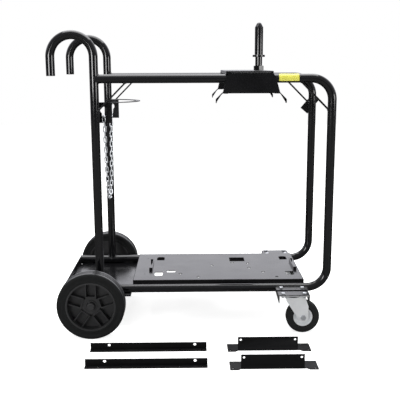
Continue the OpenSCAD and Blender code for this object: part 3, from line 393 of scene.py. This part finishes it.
# The uprights on the side loops' two ends
turns = [math.radians(angle) for angle in range(0, 361, 6)]
skin = tube_radius + 0.4
lay_bead(*[(skin * abs(math.sin(a)), side_y + skin * math.cos(a), rail_z + skin * math.sin(a))
           for a in turns])
lay_bead(*[(skin * math.cos(a), side_y + skin * math.sin(a), base_z + skin * abs(math.cos(a)))
           for a in turns])
# The corner braces' two edges, on the post and on the rail
for post_x, way in ((0, 1), (front_x, -1)):
    for reach in (130.8, 122.2):
        lay_bead(*[(post_x + way * half_chord(w), side_y + w, rail_z - reach + half_chord(w))
                   for w in run(-11, 11)])
        lay_bead(*[(post_x + way * (reach - half_chord(w)), side_y + w, rail_z - half_chord(w))
                   for w in run(-11, 11)])
# The cross rails' two edges
cross_rails, rail_half = (163, 766), 12.5
for rail_x in cross_rails:
    for x in (rail_x - rail_half, rail_x + rail_half):
        lay_bead(*[(x, side_y - half_chord(z - base_z), z) for z in run(153, 168)])
# The saddle's ends over the top rails, and the cheeks on the rails' outer sides
for x in (475.4, 648.6):
    lay_bead(*[(x, side_y + w, rail_z + half_chord(w)) for w in run(-9, 9)])
flank_y = 224.6
for first, last in ((480, 515), (610, 645)):
    lay_bead((first, flank_y, 934.5), (last, flank_y, 934.5))
# The axle plates and the tray under the bottom rails, and the caster flanges beside them
lay_bead((-48, 219.4, 135.4), (4, 219.4, 135.4))
for first, last in ((-125, -85), (50, 95)):
    lay_bead((first, 203, 139.2), (last, 203, 139.2))
lay_bead((670, flank_y, 161.4), (784, flank_y, 161.4))
# The yoke's arms on the uprights, and the hooks on the cheeks
for x in (-2.2, 2.2):
    lay_bead((x, 193.6, 781), (x, 193.6, 851))
for first, last in ((466, 486), (651, 671)):
    lay_bead((first, flank_y, 891.8), (last, flank_y, 891.8))
# The hanger plate, on the left front post alone
beads.extend([[(x, 225.2, 812), (x, 225.2, 842)] for x in (858.6, 871.4)])

points, edges = [], []
for bead in beads:
    edges += [(len(points) + i, len(points) + j) for i, j in in_a_row(len(bead))]
    points += [spot(*place) for place in bead]
welds = grow("weld_beads", bead_tree, points, edges, Size=bead_radius, Ripple=ripple,
             Material=black_coat)
welds.data.shade_smooth()
mount_piece(welds, black_coat, "cart", "black_powder_coat")

# ---------------------------------------------------------------- deck plate
# Laser cut from 3 mm steel sheet and folded down on all four sides on a press brake, so a
# fold is rounder than a cut edge. The powder lies flatter and duller on sheet than on tube.
fold_radius = 2.6
deck_top, deck_back, deck_front, deck_side = 180, 122, 782, 188
sheet_coat = powder_coat("satin_black_powder_coat", "09090A", "101012", 0.17, 0.24, 0.004)


def merged_copy(node, name):
    """A copy of a CAD node with its loose triangles merged and its flat faces joined."""
    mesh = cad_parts[node].data.copy()
    mesh.name = name
    form = bmesh.new()
    form.from_mesh(mesh)
    bmesh.ops.remove_doubles(form, verts=form.verts, dist=0.000002)
    bmesh.ops.dissolve_limit(form, angle_limit=math.radians(0.4), verts=form.verts,
                             edges=form.edges)
    form.to_mesh(mesh)
    form.free()
    return add_object(name, mesh)


def on_fold(edge, fold):
    """Whether an edge lies on two planes, given as x, y or z in millimetres."""
    return all(abs(vertex.co["xyz".index(axis)] - origin["xyz".index(axis)] - value / 1000)
               < 0.00003 for vertex in edge.verts for axis, value in fold.items())


def round_folds(piece, folds):
    """Rounds the edges that lie on the folds."""
    form = bmesh.new()
    form.from_mesh(piece.data)
    chosen = [edge for edge in form.edges if any(on_fold(edge, fold) for fold in folds)]
    bmesh.ops.bevel(form, geom=chosen, offset=fold_radius / 1000, offset_type="OFFSET",
                    segments=4, profile=0.5, affect="EDGES", clamp_overlap=True)
    form.to_mesh(piece.data)
    form.free()


def soften(piece, radius):
    """Rounds a piece's sharp edges, as a die, a deburring wheel or a thick coat leaves them."""
    bevel = piece.modifiers.new("rounding", "BEVEL")
    bevel.width = radius
    bevel.segments = 2
    bevel.limit_method = "ANGLE"
    bevel.angle_limit = math.radians(32)
    bevel.use_clamp_overlap = True
    weighted = piece.modifiers.new("flat_faces", "WEIGHTED_NORMAL")
    weighted.mode = "FACE_AREA"
    weighted.weight = 100
    piece.data.shade_smooth()
    return settle(piece)


def coated(node, body="cart", radius=0.0007, material=sheet_coat, slot="black_powder_coat",
           folds=()):
    """A softened copy stands for the CAD node."""
    piece = merged_copy(node, node + "_formed")
    if folds:
        round_folds(piece, folds)
    soften(piece, radius)
    mount_piece(piece, material, body, slot, node)
    return piece


coated("deck_plate", folds=[{"z": deck_top, "y": -deck_side}, {"z": deck_top, "y": deck_side},
                            {"z": deck_top, "x": deck_back}, {"z": deck_top, "x": deck_front}])

# ---------------------------------------------------------------- cylinder tray
# Folded from 2 mm sheet, with a rear lip that keeps the gas cylinder in and skirts that
# are welded under the bottom rails.
tray_back, tray_front, tray_side = -137, 116, 226
tray_under, tray_top = 136, 138
coated("cylinder_tray", folds=[{"x": tray_back, "z": tray_under}, {"x": tray_front, "z": tray_top},
                               {"z": tray_top, "y": -tray_side}, {"z": tray_top, "y": tray_side}])

# ---------------------------------------------------------------- feeder saddle
# A 3 mm plate folded down on all sides lies over both top rails and carries the wire
# feeder's pin. A cheek plate at each end is welded to the saddle and to the rail.
saddle_top, saddle_back, saddle_front, saddle_side = 971, 476, 648, 226
saddle_sheet = 3
cheek_top, cheek_out = 963, 229
coated("feeder_saddle", folds=[
    {"z": saddle_top, "x": saddle_back}, {"z": saddle_top, "x": saddle_front},
    {"z": saddle_top, "y": -saddle_side}, {"z": saddle_top, "y": saddle_side}])
for hand, y in (("right", -cheek_out), ("left", cheek_out)):
    coated("saddle_cheek_" + hand, radius=0.0013, folds=[{"z": cheek_top, "y": y}])

# ---------------------------------------------------------------- cylinder yoke
# A collar of steel strip goes round the gas cylinder's front. Its arms are welded to the
# uprights, and its two folded flanges have keyholes for the chain.
yoke_top, flange_y, flange_sheet = 856, 129, 3
coated("cylinder_yoke", folds=[{"z": yoke_top, "y": -flange_y}, {"z": yoke_top, "y": flange_y}])

# ---------------------------------------------------------------- loose brackets
# Two angle strips and two hat brackets of folded sheet lie on the floor. They are packed
# with the trolley, to hold a machine on the deck, and have a matt coat that hardly shines.
matt_coat = powder_coat("matt_black_powder_coat", "070708", "0C0C0D", 0.38, 0.48, 0.03, 0.2)
for node, fold_y in (("angle_strip_rear", -429), ("angle_strip_front", -567),
                     ("hat_bracket_rear", -453), ("hat_bracket_front", -604)):
    coated(node, material=matt_coat, folds=[{"z": 0, "y": fold_y}])

# ---------------------------------------------------------------- braces, rails and plates
# Flat bars cross the frame's upper corners. Plain steel rails, plates, hooks and spacers
# carry the deck, the axle, the casters and the cables. All are coated with the frame.
for node in ("rear_brace_right", "rear_brace_left", "front_brace_right", "front_brace_left",
             "hanger_plate", "front_cross_rail", "rear_cross_rail", "axle_plate_right",
             "axle_plate_left", "axle_spacers", "cable_hooks", "caster_flange_right",
             "caster_flange_left", "caster_bracket_right", "caster_bracket_left"):
    coated(node)

# ---------------------------------------------------------------- tube plugs
# Each open tube end is closed by a push-in plug, moulded in black polyethylene, which has
# a soft, waxy sheen. Its thin round-edged head covers the tube's wall.
def moulded(name, dark, light, low, high, grain, relief_depth, sheen=0.5):
    """Moulded plastic or rubber: matt, with a grain of that many millimetres, raised so far."""
    material, tree = new_material(name)
    place = add_node(tree, "ShaderNodeTexCoord").outputs["Object"]
    shade, roughness = clouded(tree, place, 24, 6, (dark, light), (low, high))
    end_material(tree, {
        "Base Color": shade, "Roughness": roughness,
        "Normal": grained(tree, place, 1000 / grain, 3, 0.5, relief_depth), "IOR": 1.5,
        "Specular IOR Level": sheen})
    return material


plug_plastic = moulded("black_polyethylene", "101011", "1A1A1B", 0.42, 0.55, 0.8, 0.03)
coated("tube_end_plugs", radius=0.0006, material=plug_plastic, slot="plug_plastic")

# ---------------------------------------------------------------- rear wheels
# A dull black rubber tyre sits on a hub moulded in matt nylon, an even dark grey, with five
# hollow spokes. The tread's rib tops are painted a lighter grey than the rest of the tyre, a
# painted highlight, and are smoother. The tread's fine ribs are drawn coarser, as four, so
# that they show.
axle_x, axle_z = -22, 125
wheel_in_y, tyre_width = 280, 60
rib_start, rib_pitch = 10.8, 11.2
tread_reach = 124.7


def keep_form(form, name, sharp):
    """Makes a form an object, smooth but for edges sharper than that many degrees."""
    bmesh.ops.recalc_face_normals(form, faces=form.faces)
    mesh = bpy.data.meshes.new(name)
    form.to_mesh(mesh)
    form.free()
    mesh.shade_smooth()
    mesh.set_sharp_from_angle(angle=math.radians(sharp))
    return add_object(name, mesh)


def turned(name, profile, centre, axis, segments=120, closed=True):
    """A lathe form: profile points are (radius, distance along the axis) in millimetres."""
    form = bmesh.new()
    along = Vector(axis)
    across = Vector((0, 0, 1)) if abs(along.z) < 0.5 else Vector((1, 0, 0))
    third = along.cross(across)
    rings = []
    for i in range(segments):
        angle = 2 * math.pi * i / segments
        out = math.cos(angle) * across + math.sin(angle) * third
        rings.append([form.verts.new(centre + (radius * out + distance * along) / 1000)
                      if radius > 0 else None for radius, distance in profile])
    for place, (radius, distance) in enumerate(profile):
        if radius == 0:
            pole = form.verts.new(centre + distance * along / 1000)
            for row in rings:
                row[place] = pole
    for i in range(segments):
        here, there = rings[i], rings[(i + 1) % segments]
        for j in range(len(profile) if closed else len(profile) - 1):
            k = (j + 1) % len(profile)
            form.faces.new(list(dict.fromkeys((here[j], there[j], there[k], here[k]))))
    piece = keep_form(form, name, 38)
    weighted = piece.modifiers.new("straight_flanks", "WEIGHTED_NORMAL")
    weighted.keep_sharp = True
    return settle(piece)


def corner(radius, distance, size, start, count=6):
    """A quarter circle in a profile, centred at radius and distance."""
    angles = [math.radians(start + 90 * i / count) for i in range(count + 1)]
    return [(radius + size * math.cos(a), distance + size * math.sin(a)) for a in angles]


def mirrored(half, middle=0.0):
    """The other half of a profile that is the same on both sides of its middle."""
    return [(radius, 2 * middle - distance) for radius, distance in reversed(half)]


def second_finish(piece, material, test):
    """Gives the faces whose middle passes the test a second material."""
    piece.data.materials.append(material)
    for face in piece.data.polygons:
        face.material_index = int(test(face.center))


tyre_rubber = moulded("black_tyre_rubber", "0D0E0E", "171818", 0.62, 0.75, 0.9, 0.06, 0.2)
# The tread rubber is painted lighter than the tyre's own: a painted highlight on the rib tops.
tread_painted_highlight = moulded("worn_tread_rubber", "1A1B1C", "28292A", 0.3, 0.4, 0.9, 0.02, 0.9)
hub_plastic = moulded("matt_black_nylon", "1B1B1C", "262627", 0.40, 0.52, 0.7, 0.02)
ribs = []
for i in range(4):
    low = rib_start + rib_pitch * i
    ribs += [(122.6, low - 1.6), (124.8, low - 0.2), (125.0, low + 0.3), (125.0, low + 4.5),
             (124.8, low + 5.0), (122.6, low + 6.4)]
sidewall = [(92, 1.2), (92.6, 0.4), (94, 0), (97.5, 0), (98.4, 0.9), (104, 1.3), (110, 0.9),
            (111, 0.1), (114, 0)] + corner(117, 8, 8, 270)[:-1]
tyre = sidewall + ribs[1:-1] + mirrored(sidewall, tyre_width / 2)
axle = spot(axle_x, 0, axle_z)
for hand, way in (("right", -1), ("left", 1)):
    wheel = "rear_wheel_" + hand
    piece = turned("ribbed_tyre_" + hand, tyre, spot(axle_x, way * wheel_in_y, axle_z),
                   (0, way, 0), 160)
    mount_piece(piece, tyre_rubber, wheel, "tyre_rubber", "rear_tyre_" + hand)
    # Faces beyond the tread's reach, the rib tops, take the painted highlight.
    second_finish(piece, tread_painted_highlight, lambda place: tread_reach / 1000 < math.hypot(
        place.x - axle.x, place.z - axle.z))
    coated("rear_hub_" + hand, wheel, 0.0009, hub_plastic, "hub_plastic")
coated("axle_caps", radius=0.0005, material=hub_plastic, slot="black_powder_coat")


# ---------------------------------------------------------------- rear axle
# A drawn steel bar, zinc plated: a slightly bluish metal with a soft cloudy gloss.
# The washers beside the hubs are coated black.
def plated(name, dark, light, low, high, metallic=0.5):
    """Zinc plate over drawn or pressed steel, whose fine grain shows through."""
    material, tree = new_material(name)
    place = add_node(tree, "ShaderNodeTexCoord").outputs["Object"]
    shade, roughness = clouded(tree, place, 60, 6, (dark, light), (low, high))
    end_material(tree, {
        "Base Color": shade, "Roughness": roughness,
        "Normal": grained(tree, place, 1400, 2, 0.3, 0.03), "Metallic": metallic})
    return material


dark_zinc = plated("dull_zinc_plate", "C4C7CB", "E2E4E7", 0.3, 0.42, 0.9)
coated("rear_axle", radius=0.001, material=dark_zinc, slot="bright_zinc")
coated("axle_washers", radius=0.0004)

# ---------------------------------------------------------------- deck screws
# Four flush countersunk screws with a hexagon socket hold the deck on its cross rails.
# They are coated together with the deck.
random.seed(7)


def six_sided(angle):
    """How far an angle is from the middle of a hexagon's nearest side."""
    return (angle + math.radians(30)) % math.radians(60) - math.radians(30)


def swung(name, segments, rows_at, sharp, closed):
    """A form round +Z whose (radius, height) rows, in millimetres, depend on the angle."""
    form = bmesh.new()
    rings = []
    for i in range(segments):
        angle = 2 * math.pi * i / segments
        rings.append([form.verts.new((radius * math.cos(angle) / 1000,
                                      radius * math.sin(angle) / 1000, z / 1000))
                      for radius, z in rows_at(angle)])
    rows = len(rings[0])
    for i in range(segments):
        here, there = rings[i], rings[(i + 1) % segments]
        for j in range(rows if closed else rows - 1):
            k = (j + 1) % rows
            form.faces.new((here[j], there[j], there[k], here[k]))
    if not closed:
        form.faces.new([row[0] for row in rings])
        form.faces.new([row[-1] for row in reversed(rings)])
    bmesh.ops.remove_doubles(form, verts=form.verts, dist=0.0000001)
    return keep_form(form, name, sharp)


def socket_screw(name, thread, length, key):
    """A countersunk screw with its head's top at the origin and a hexagon socket in it."""
    def rows_at(angle):
        flat = key / 2 / math.cos(six_sided(angle))
        return [(flat, -thread * 0.42), (flat, 0), (thread * 0.96, 0), (thread, -0.25),
                (thread / 2, -thread / 2), (thread / 2, 0.5 - length),
                (thread / 2 - 0.5, -length)]
    return swung(name, 48, rows_at, 30, closed=False)


set_tree, given = new_tree("repeated_part", Part="Object", Material="Material")
stored = add_node(set_tree, "GeometryNodeInputNamedAttribute", {"Name": "turn"},
                  data_type="FLOAT_VECTOR")
part = add_node(set_tree, "GeometryNodeObjectInfo", {"Object": given["Part"]})
turned_by = add_node(set_tree, "FunctionNodeEulerToRotation", {0: stored.outputs[0]})
marks = add_node(set_tree, "GeometryNodeMeshToPoints", {"Mesh": given["Geometry"]})
copies = add_node(set_tree, "GeometryNodeInstanceOnPoints", {
    "Points": marks.outputs[0], "Instance": part.outputs["Geometry"],
    "Rotation": turned_by.outputs[0]})
end_tree(set_tree, copies.outputs[0], given["Material"])


def repeat(name, shape, places, turns, material, body, slot, *replaced):
    """Copies of a shape at places in millimetres, each with its Euler turn in radians."""
    piece = grow(name, set_tree, [spot(*place) for place in places], [], {"turn": turns},
                 Part=shape, Material=material)
    bpy.data.objects.remove(shape)
    mount_piece(piece, material, body, slot, *replaced)


def any_turns(places, most):
    """A random turn about +Z for each place, up to that many radians."""
    return [(0, 0, random.uniform(0, most)) for _ in places]


places = [(x, y, deck_top - 0.05) for x in cross_rails for y in (-110, 110)]
repeat("countersunk_screws", socket_screw("screw_shape", 6, 11, 4), places,
       any_turns(places, 6), sheet_coat, "cart", "black_powder_coat", "deck_screws")

# ---------------------------------------------------------------- feeder pin and nuts
# A turned steel pin with a collar and a tapered tip carries the wire feeder. Two large
# hexagon nuts clamp it to the saddle, one above and one below. All are blackened and
# oiled, which gives a dark gloss.
pin_x = 615
nut_across, nut_height, nut_bore = 43, 18, 26.2
blackened = powder_coat("oiled_black_oxide", "0A0A0B", "141416", 0.1, 0.16, 0.005)
pin = [(0, 927), (11, 927), (13, 929), (13, 989), (13.5, 989), (13.5, 1021.4), (14, 1022),
       (23.2, 1022), (24, 1022.8), (24, 1029.2), (23.2, 1030), (16.2, 1030), (16, 1030.4),
       (16, 1134.4), (15.4, 1136), (8.6, 1148.4), (7.6, 1149.4), (4.6, 1151.6), (3.6, 1152),
       (0, 1152)]


def hexagon(name, across, height, bore=0.0):
    """A chamfered bolt head or nut, that wide across its corners, on the origin along +Z."""
    def rows_at(angle):
        flat = across / 2 * math.cos(math.radians(30))
        reach = min(flat / math.cos(six_sided(angle)), across / 2)
        face = flat * 0.97
        cut = (reach - flat * 0.985) * math.tan(math.radians(28))
        return [(bore / 2, height), (face, height), (reach, height - cut), (reach, cut),
                (face, 0), (bore / 2, 0)]
    return swung(name, 72, rows_at, 28, closed=True)


piece = turned("turned_feeder_pin", pin, spot(pin_x, 0, 0), (0, 0, 1), 96, closed=False)
mount_piece(piece, blackened, "cart", "black_powder_coat", "feeder_pin")
for name, z, node in (("pin_upper_nut", saddle_top, "pin_top_nut"),
                      ("pin_lower_nut", saddle_top - saddle_sheet - nut_height,
                       "pin_bottom_nut")):
    repeat(name, hexagon("nut_shape", nut_across, nut_height, nut_bore), [(pin_x, 0, z)],
           [(0, 0, 0)], blackened, "cart", "black_nut", node)

# ---------------------------------------------------------------- cylinder chain
# Short-link chain of 4 mm welded wire, zinc plated, which glints. It hangs in a catenary
# between the yoke's two keyholes. Each link stands across its neighbours, and a burr
# marks its weld.
wire_radius, link_inside, bow_radius = 2.0, 20.5, 5.0
link_play, burr_radius = 0.5, 2.35
loop_links = 37
chain_x, chain_z = 22, 806
straight = link_inside / 2 + wire_radius - bow_radius
flat_step = link_inside + 2 * wire_radius
upright_step = link_inside - 2 * wire_radius - link_play
seat_y = flange_y - flange_sheet / 2
half_span = seat_y - upright_step / 2
length = (loop_links + 1) / 2 * flat_step + (loop_links - 1) / 2 * upright_step
chain_zinc = plated("barrel_plated_chain_zinc", "C8CBCE", "F2F4F6", 0.25, 0.36, 0.7)


def catenary(low, high):
    """Constant of the curve that has the loop's length over its span, by halving."""
    for _ in range(60):
        middle = (low + high) / 2
        if 2 * middle * math.sinh(half_span / middle) > length:
            low = middle
        else:
            high = middle
    return low


def on_loop(s):
    """Place on the hanging loop at a length along it, from its lowest point."""
    y = sag * math.log(s / sag + math.sqrt((s / sag) ** 2 + 1))
    return y, chain_z - sag * (math.cosh(half_span / sag) - math.cosh(y / sag))


def link_turn(start, end, flat):
    """Euler turn that lays a link from start to end, each given as (y, z)."""
    lean = math.atan2(end[0] - start[0], end[1] - start[1])
    spin = 0 if flat else math.pi / 2
    return (Matrix.Rotation(-lean, 3, "X") @ Matrix.Rotation(spin, 3, "Z")).to_euler()[:]


def link_bow(first, offset):
    """A link's rounded end, from one angle through half a turn."""
    angles = [math.radians(first + step) for step in range(0, 181, 15)]
    return [(bow_radius * math.cos(a) / 1000, 0, (bow_radius * math.sin(a) + offset) / 1000)
            for a in angles]


sag = catenary(15, 400)
link_path = link_bow(0, straight) + link_bow(180, -straight)
link = grow("link_shape", tube_tree, link_path, in_a_row(len(link_path), True),
            Radius=wire_radius / 1000, Sides=12, Material=chain_zinc)
burr = bmesh.new()
burr.from_mesh(link.data)
bmesh.ops.create_icosphere(burr, subdivisions=2, radius=burr_radius / 1000,
                           matrix=Matrix.Translation((bow_radius / 1000, 0, 0)))
burr.to_mesh(link.data)
burr.free()
link.data.shade_smooth()
ends = []
start = -length / 2
for i in range(loop_links):
    size = upright_step if i % 2 else flat_step
    ends.append((on_loop(start), on_loop(start + size), i % 2 == 0))
    start += size
for y in (-seat_y, seat_y):
    ends.append(((y - upright_step / 2, chain_z), (y + upright_step / 2, chain_z), False))
spare_y = -seat_y - upright_step / 2
ends.append(((spare_y, chain_z), (spare_y, chain_z - flat_step), True))
repeat("welded_chain", link, [(chain_x, (a[0] + b[0]) / 2, (a[1] + b[1]) / 2) for a, b, _ in ends],
       [link_turn(*end) for end in ends], chain_zinc, "chain", "bright_zinc", "cylinder_chain")

# ---------------------------------------------------------------- caster bolts
# Eight zinc plated M8 bolts, four to a caster, go down through the welded outriggers and
# the caster's top plate, and each has a nut below.
pivot_x, caster_y = 727, 273
bolt_x, bolt_y = 40, 30
inner_top, outer_top = 161, 158
thread_radius, bolt_across = 4, 14.8
nut_z, shank_end = 145.5, 143.5
bolts = [(pivot_x + x, way * y, z) for y, z in ((caster_y - bolt_y, inner_top),
                                                (caster_y + bolt_y, outer_top))
         for way in (-1, 1) for x in (-bolt_x, bolt_x)]
repeat("caster_bolt_heads", hexagon("head_shape", bolt_across, 5), bolts, any_turns(bolts, 1),
       dark_zinc, "cart", "bright_zinc")
for i, (x, y, z) in enumerate(bolts):
    profile = [(0, shank_end), (3.3, shank_end), (thread_radius, shank_end + 0.8),
               (thread_radius, z), (0, z)]
    shank = turned(f"caster_bolt_shank_{i + 1}", profile, spot(x, y, 0), (0, 0, 1), 32,
                   closed=False)
    mount_piece(shank, dark_zinc, "cart", "bright_zinc", *(["caster_bolts"] if i == 0 else []))
repeat("caster_plate_nuts", hexagon("nut_shape", bolt_across, 6.5, 8.1),
       [(x, y, nut_z) for x, y, _ in bolts], any_turns(bolts, 1), dark_zinc, "cart",
       "bright_zinc", "caster_nuts")

# ---------------------------------------------------------------- casters
# Each swivel caster has a top plate, a fork and a rolled rim, pressed from steel and zinc
# plated to a pale, cloudy gloss. It has a dull black rubber tyre. Round the bearing, the
# plate's underside is painted near black, a painted shadow of the gap above the fork, which
# shines a little.
caster_x, caster_radius = 765, 62.5
shadow_top, shadow_radius = 151.8, 33
bright_zinc = plated("bright_zinc_plate", "ECEEF0", "FAFBFC", 0.36, 0.48)
caster_rubber = moulded("caster_rubber", "131414", "1E1F1F", 0.6, 0.72, 0.8, 0.05, 0.25)
# Near black under the caster plate, round the bearing: a painted shadow of the gap above the fork.
plate_painted_shadow = moulded("greased_black_seal", "0C0C0D", "161617", 0.3, 0.5, 0.8, 0.03)
half_rim = [(6.1, 20.3), (11, 20.3), (12, 19.3), (12, 8), (14, 5.2), (19, 4.4), (20, 5.2),
            (22, 5.2), (23, 4.4), (26, 4.8), (30.6, 13), (31.6, 15.4), (32.6, 16), (35, 16),
            (36, 15)]
half_tyre = ([(36, -15.6), (37, -17.2), (39, -18), (50, -18)] + corner(53.5, -9, 9, 270, 8)
             + [(caster_radius, -0.5)])
for hand, way in (("right", -1), ("left", 1)):
    middle = spot(caster_x, way * caster_y, caster_radius)
    pivot = spot(pivot_x, way * caster_y, 0)
    wheel = "caster_wheel_" + hand
    fork = "caster_fork_" + hand + "_body"
    piece = turned("pressed_rim_" + hand, half_rim + mirrored(half_rim), middle, (0, way, 0), 96)
    mount_piece(piece, bright_zinc, wheel, "bright_zinc", "caster_rim_" + hand)
    piece = turned("caster_tyre_formed_" + hand, half_tyre + [(62.2, 0)] + mirrored(half_tyre),
                   middle, (0, way, 0))
    mount_piece(piece, caster_rubber, wheel, "caster_rubber", "caster_tyre_" + hand)
    coated("caster_fork_" + hand, fork, 0.0007, bright_zinc, "bright_zinc")
    coated("caster_axle_" + hand, fork, 0.0005, dark_zinc, "bright_zinc")
    piece = coated("caster_plate_" + hand, "cart", 0.0006, bright_zinc, "bright_zinc")
    # The plate's faces below its seat, round the bearing, take the painted shadow.
    second_finish(piece, plate_painted_shadow, lambda place: place.z < shadow_top / 1000 and (
        math.hypot(place.x - pivot.x, place.y - pivot.y) < shadow_radius / 1000))
coated("caster_kingpins", radius=0.0006, material=dark_zinc, slot="bright_zinc")

# ---------------------------------------------------------------- plain film
# A blank band of yellow vinyl film, wrapped round the outer side of the right top rail,
# with small ripples where it was smoothed down by hand.
film, tree = new_material("yellow_vinyl_film")
place = add_node(tree, "ShaderNodeTexCoord").outputs["Object"]
ripples = add_node(tree, "ShaderNodeTexNoise", {"Vector": place, "Scale": 90, "Detail": 4})
shade = add_node(tree, "ShaderNodeMixRGB", {
    0: ripples, 1: linear("D0CB44"), 2: linear("DDD964")})
skin = add_node(tree, "ShaderNodeBump", {
    "Height": ripples, "Strength": 0.3, "Distance": 0.0002})
end_material(tree, {"Base Color": shade, "Roughness": 0.35, "Normal": skin, "IOR": 1.5})
coated("plain_decal", radius=0.00008, material=film, slot="yellow_film")
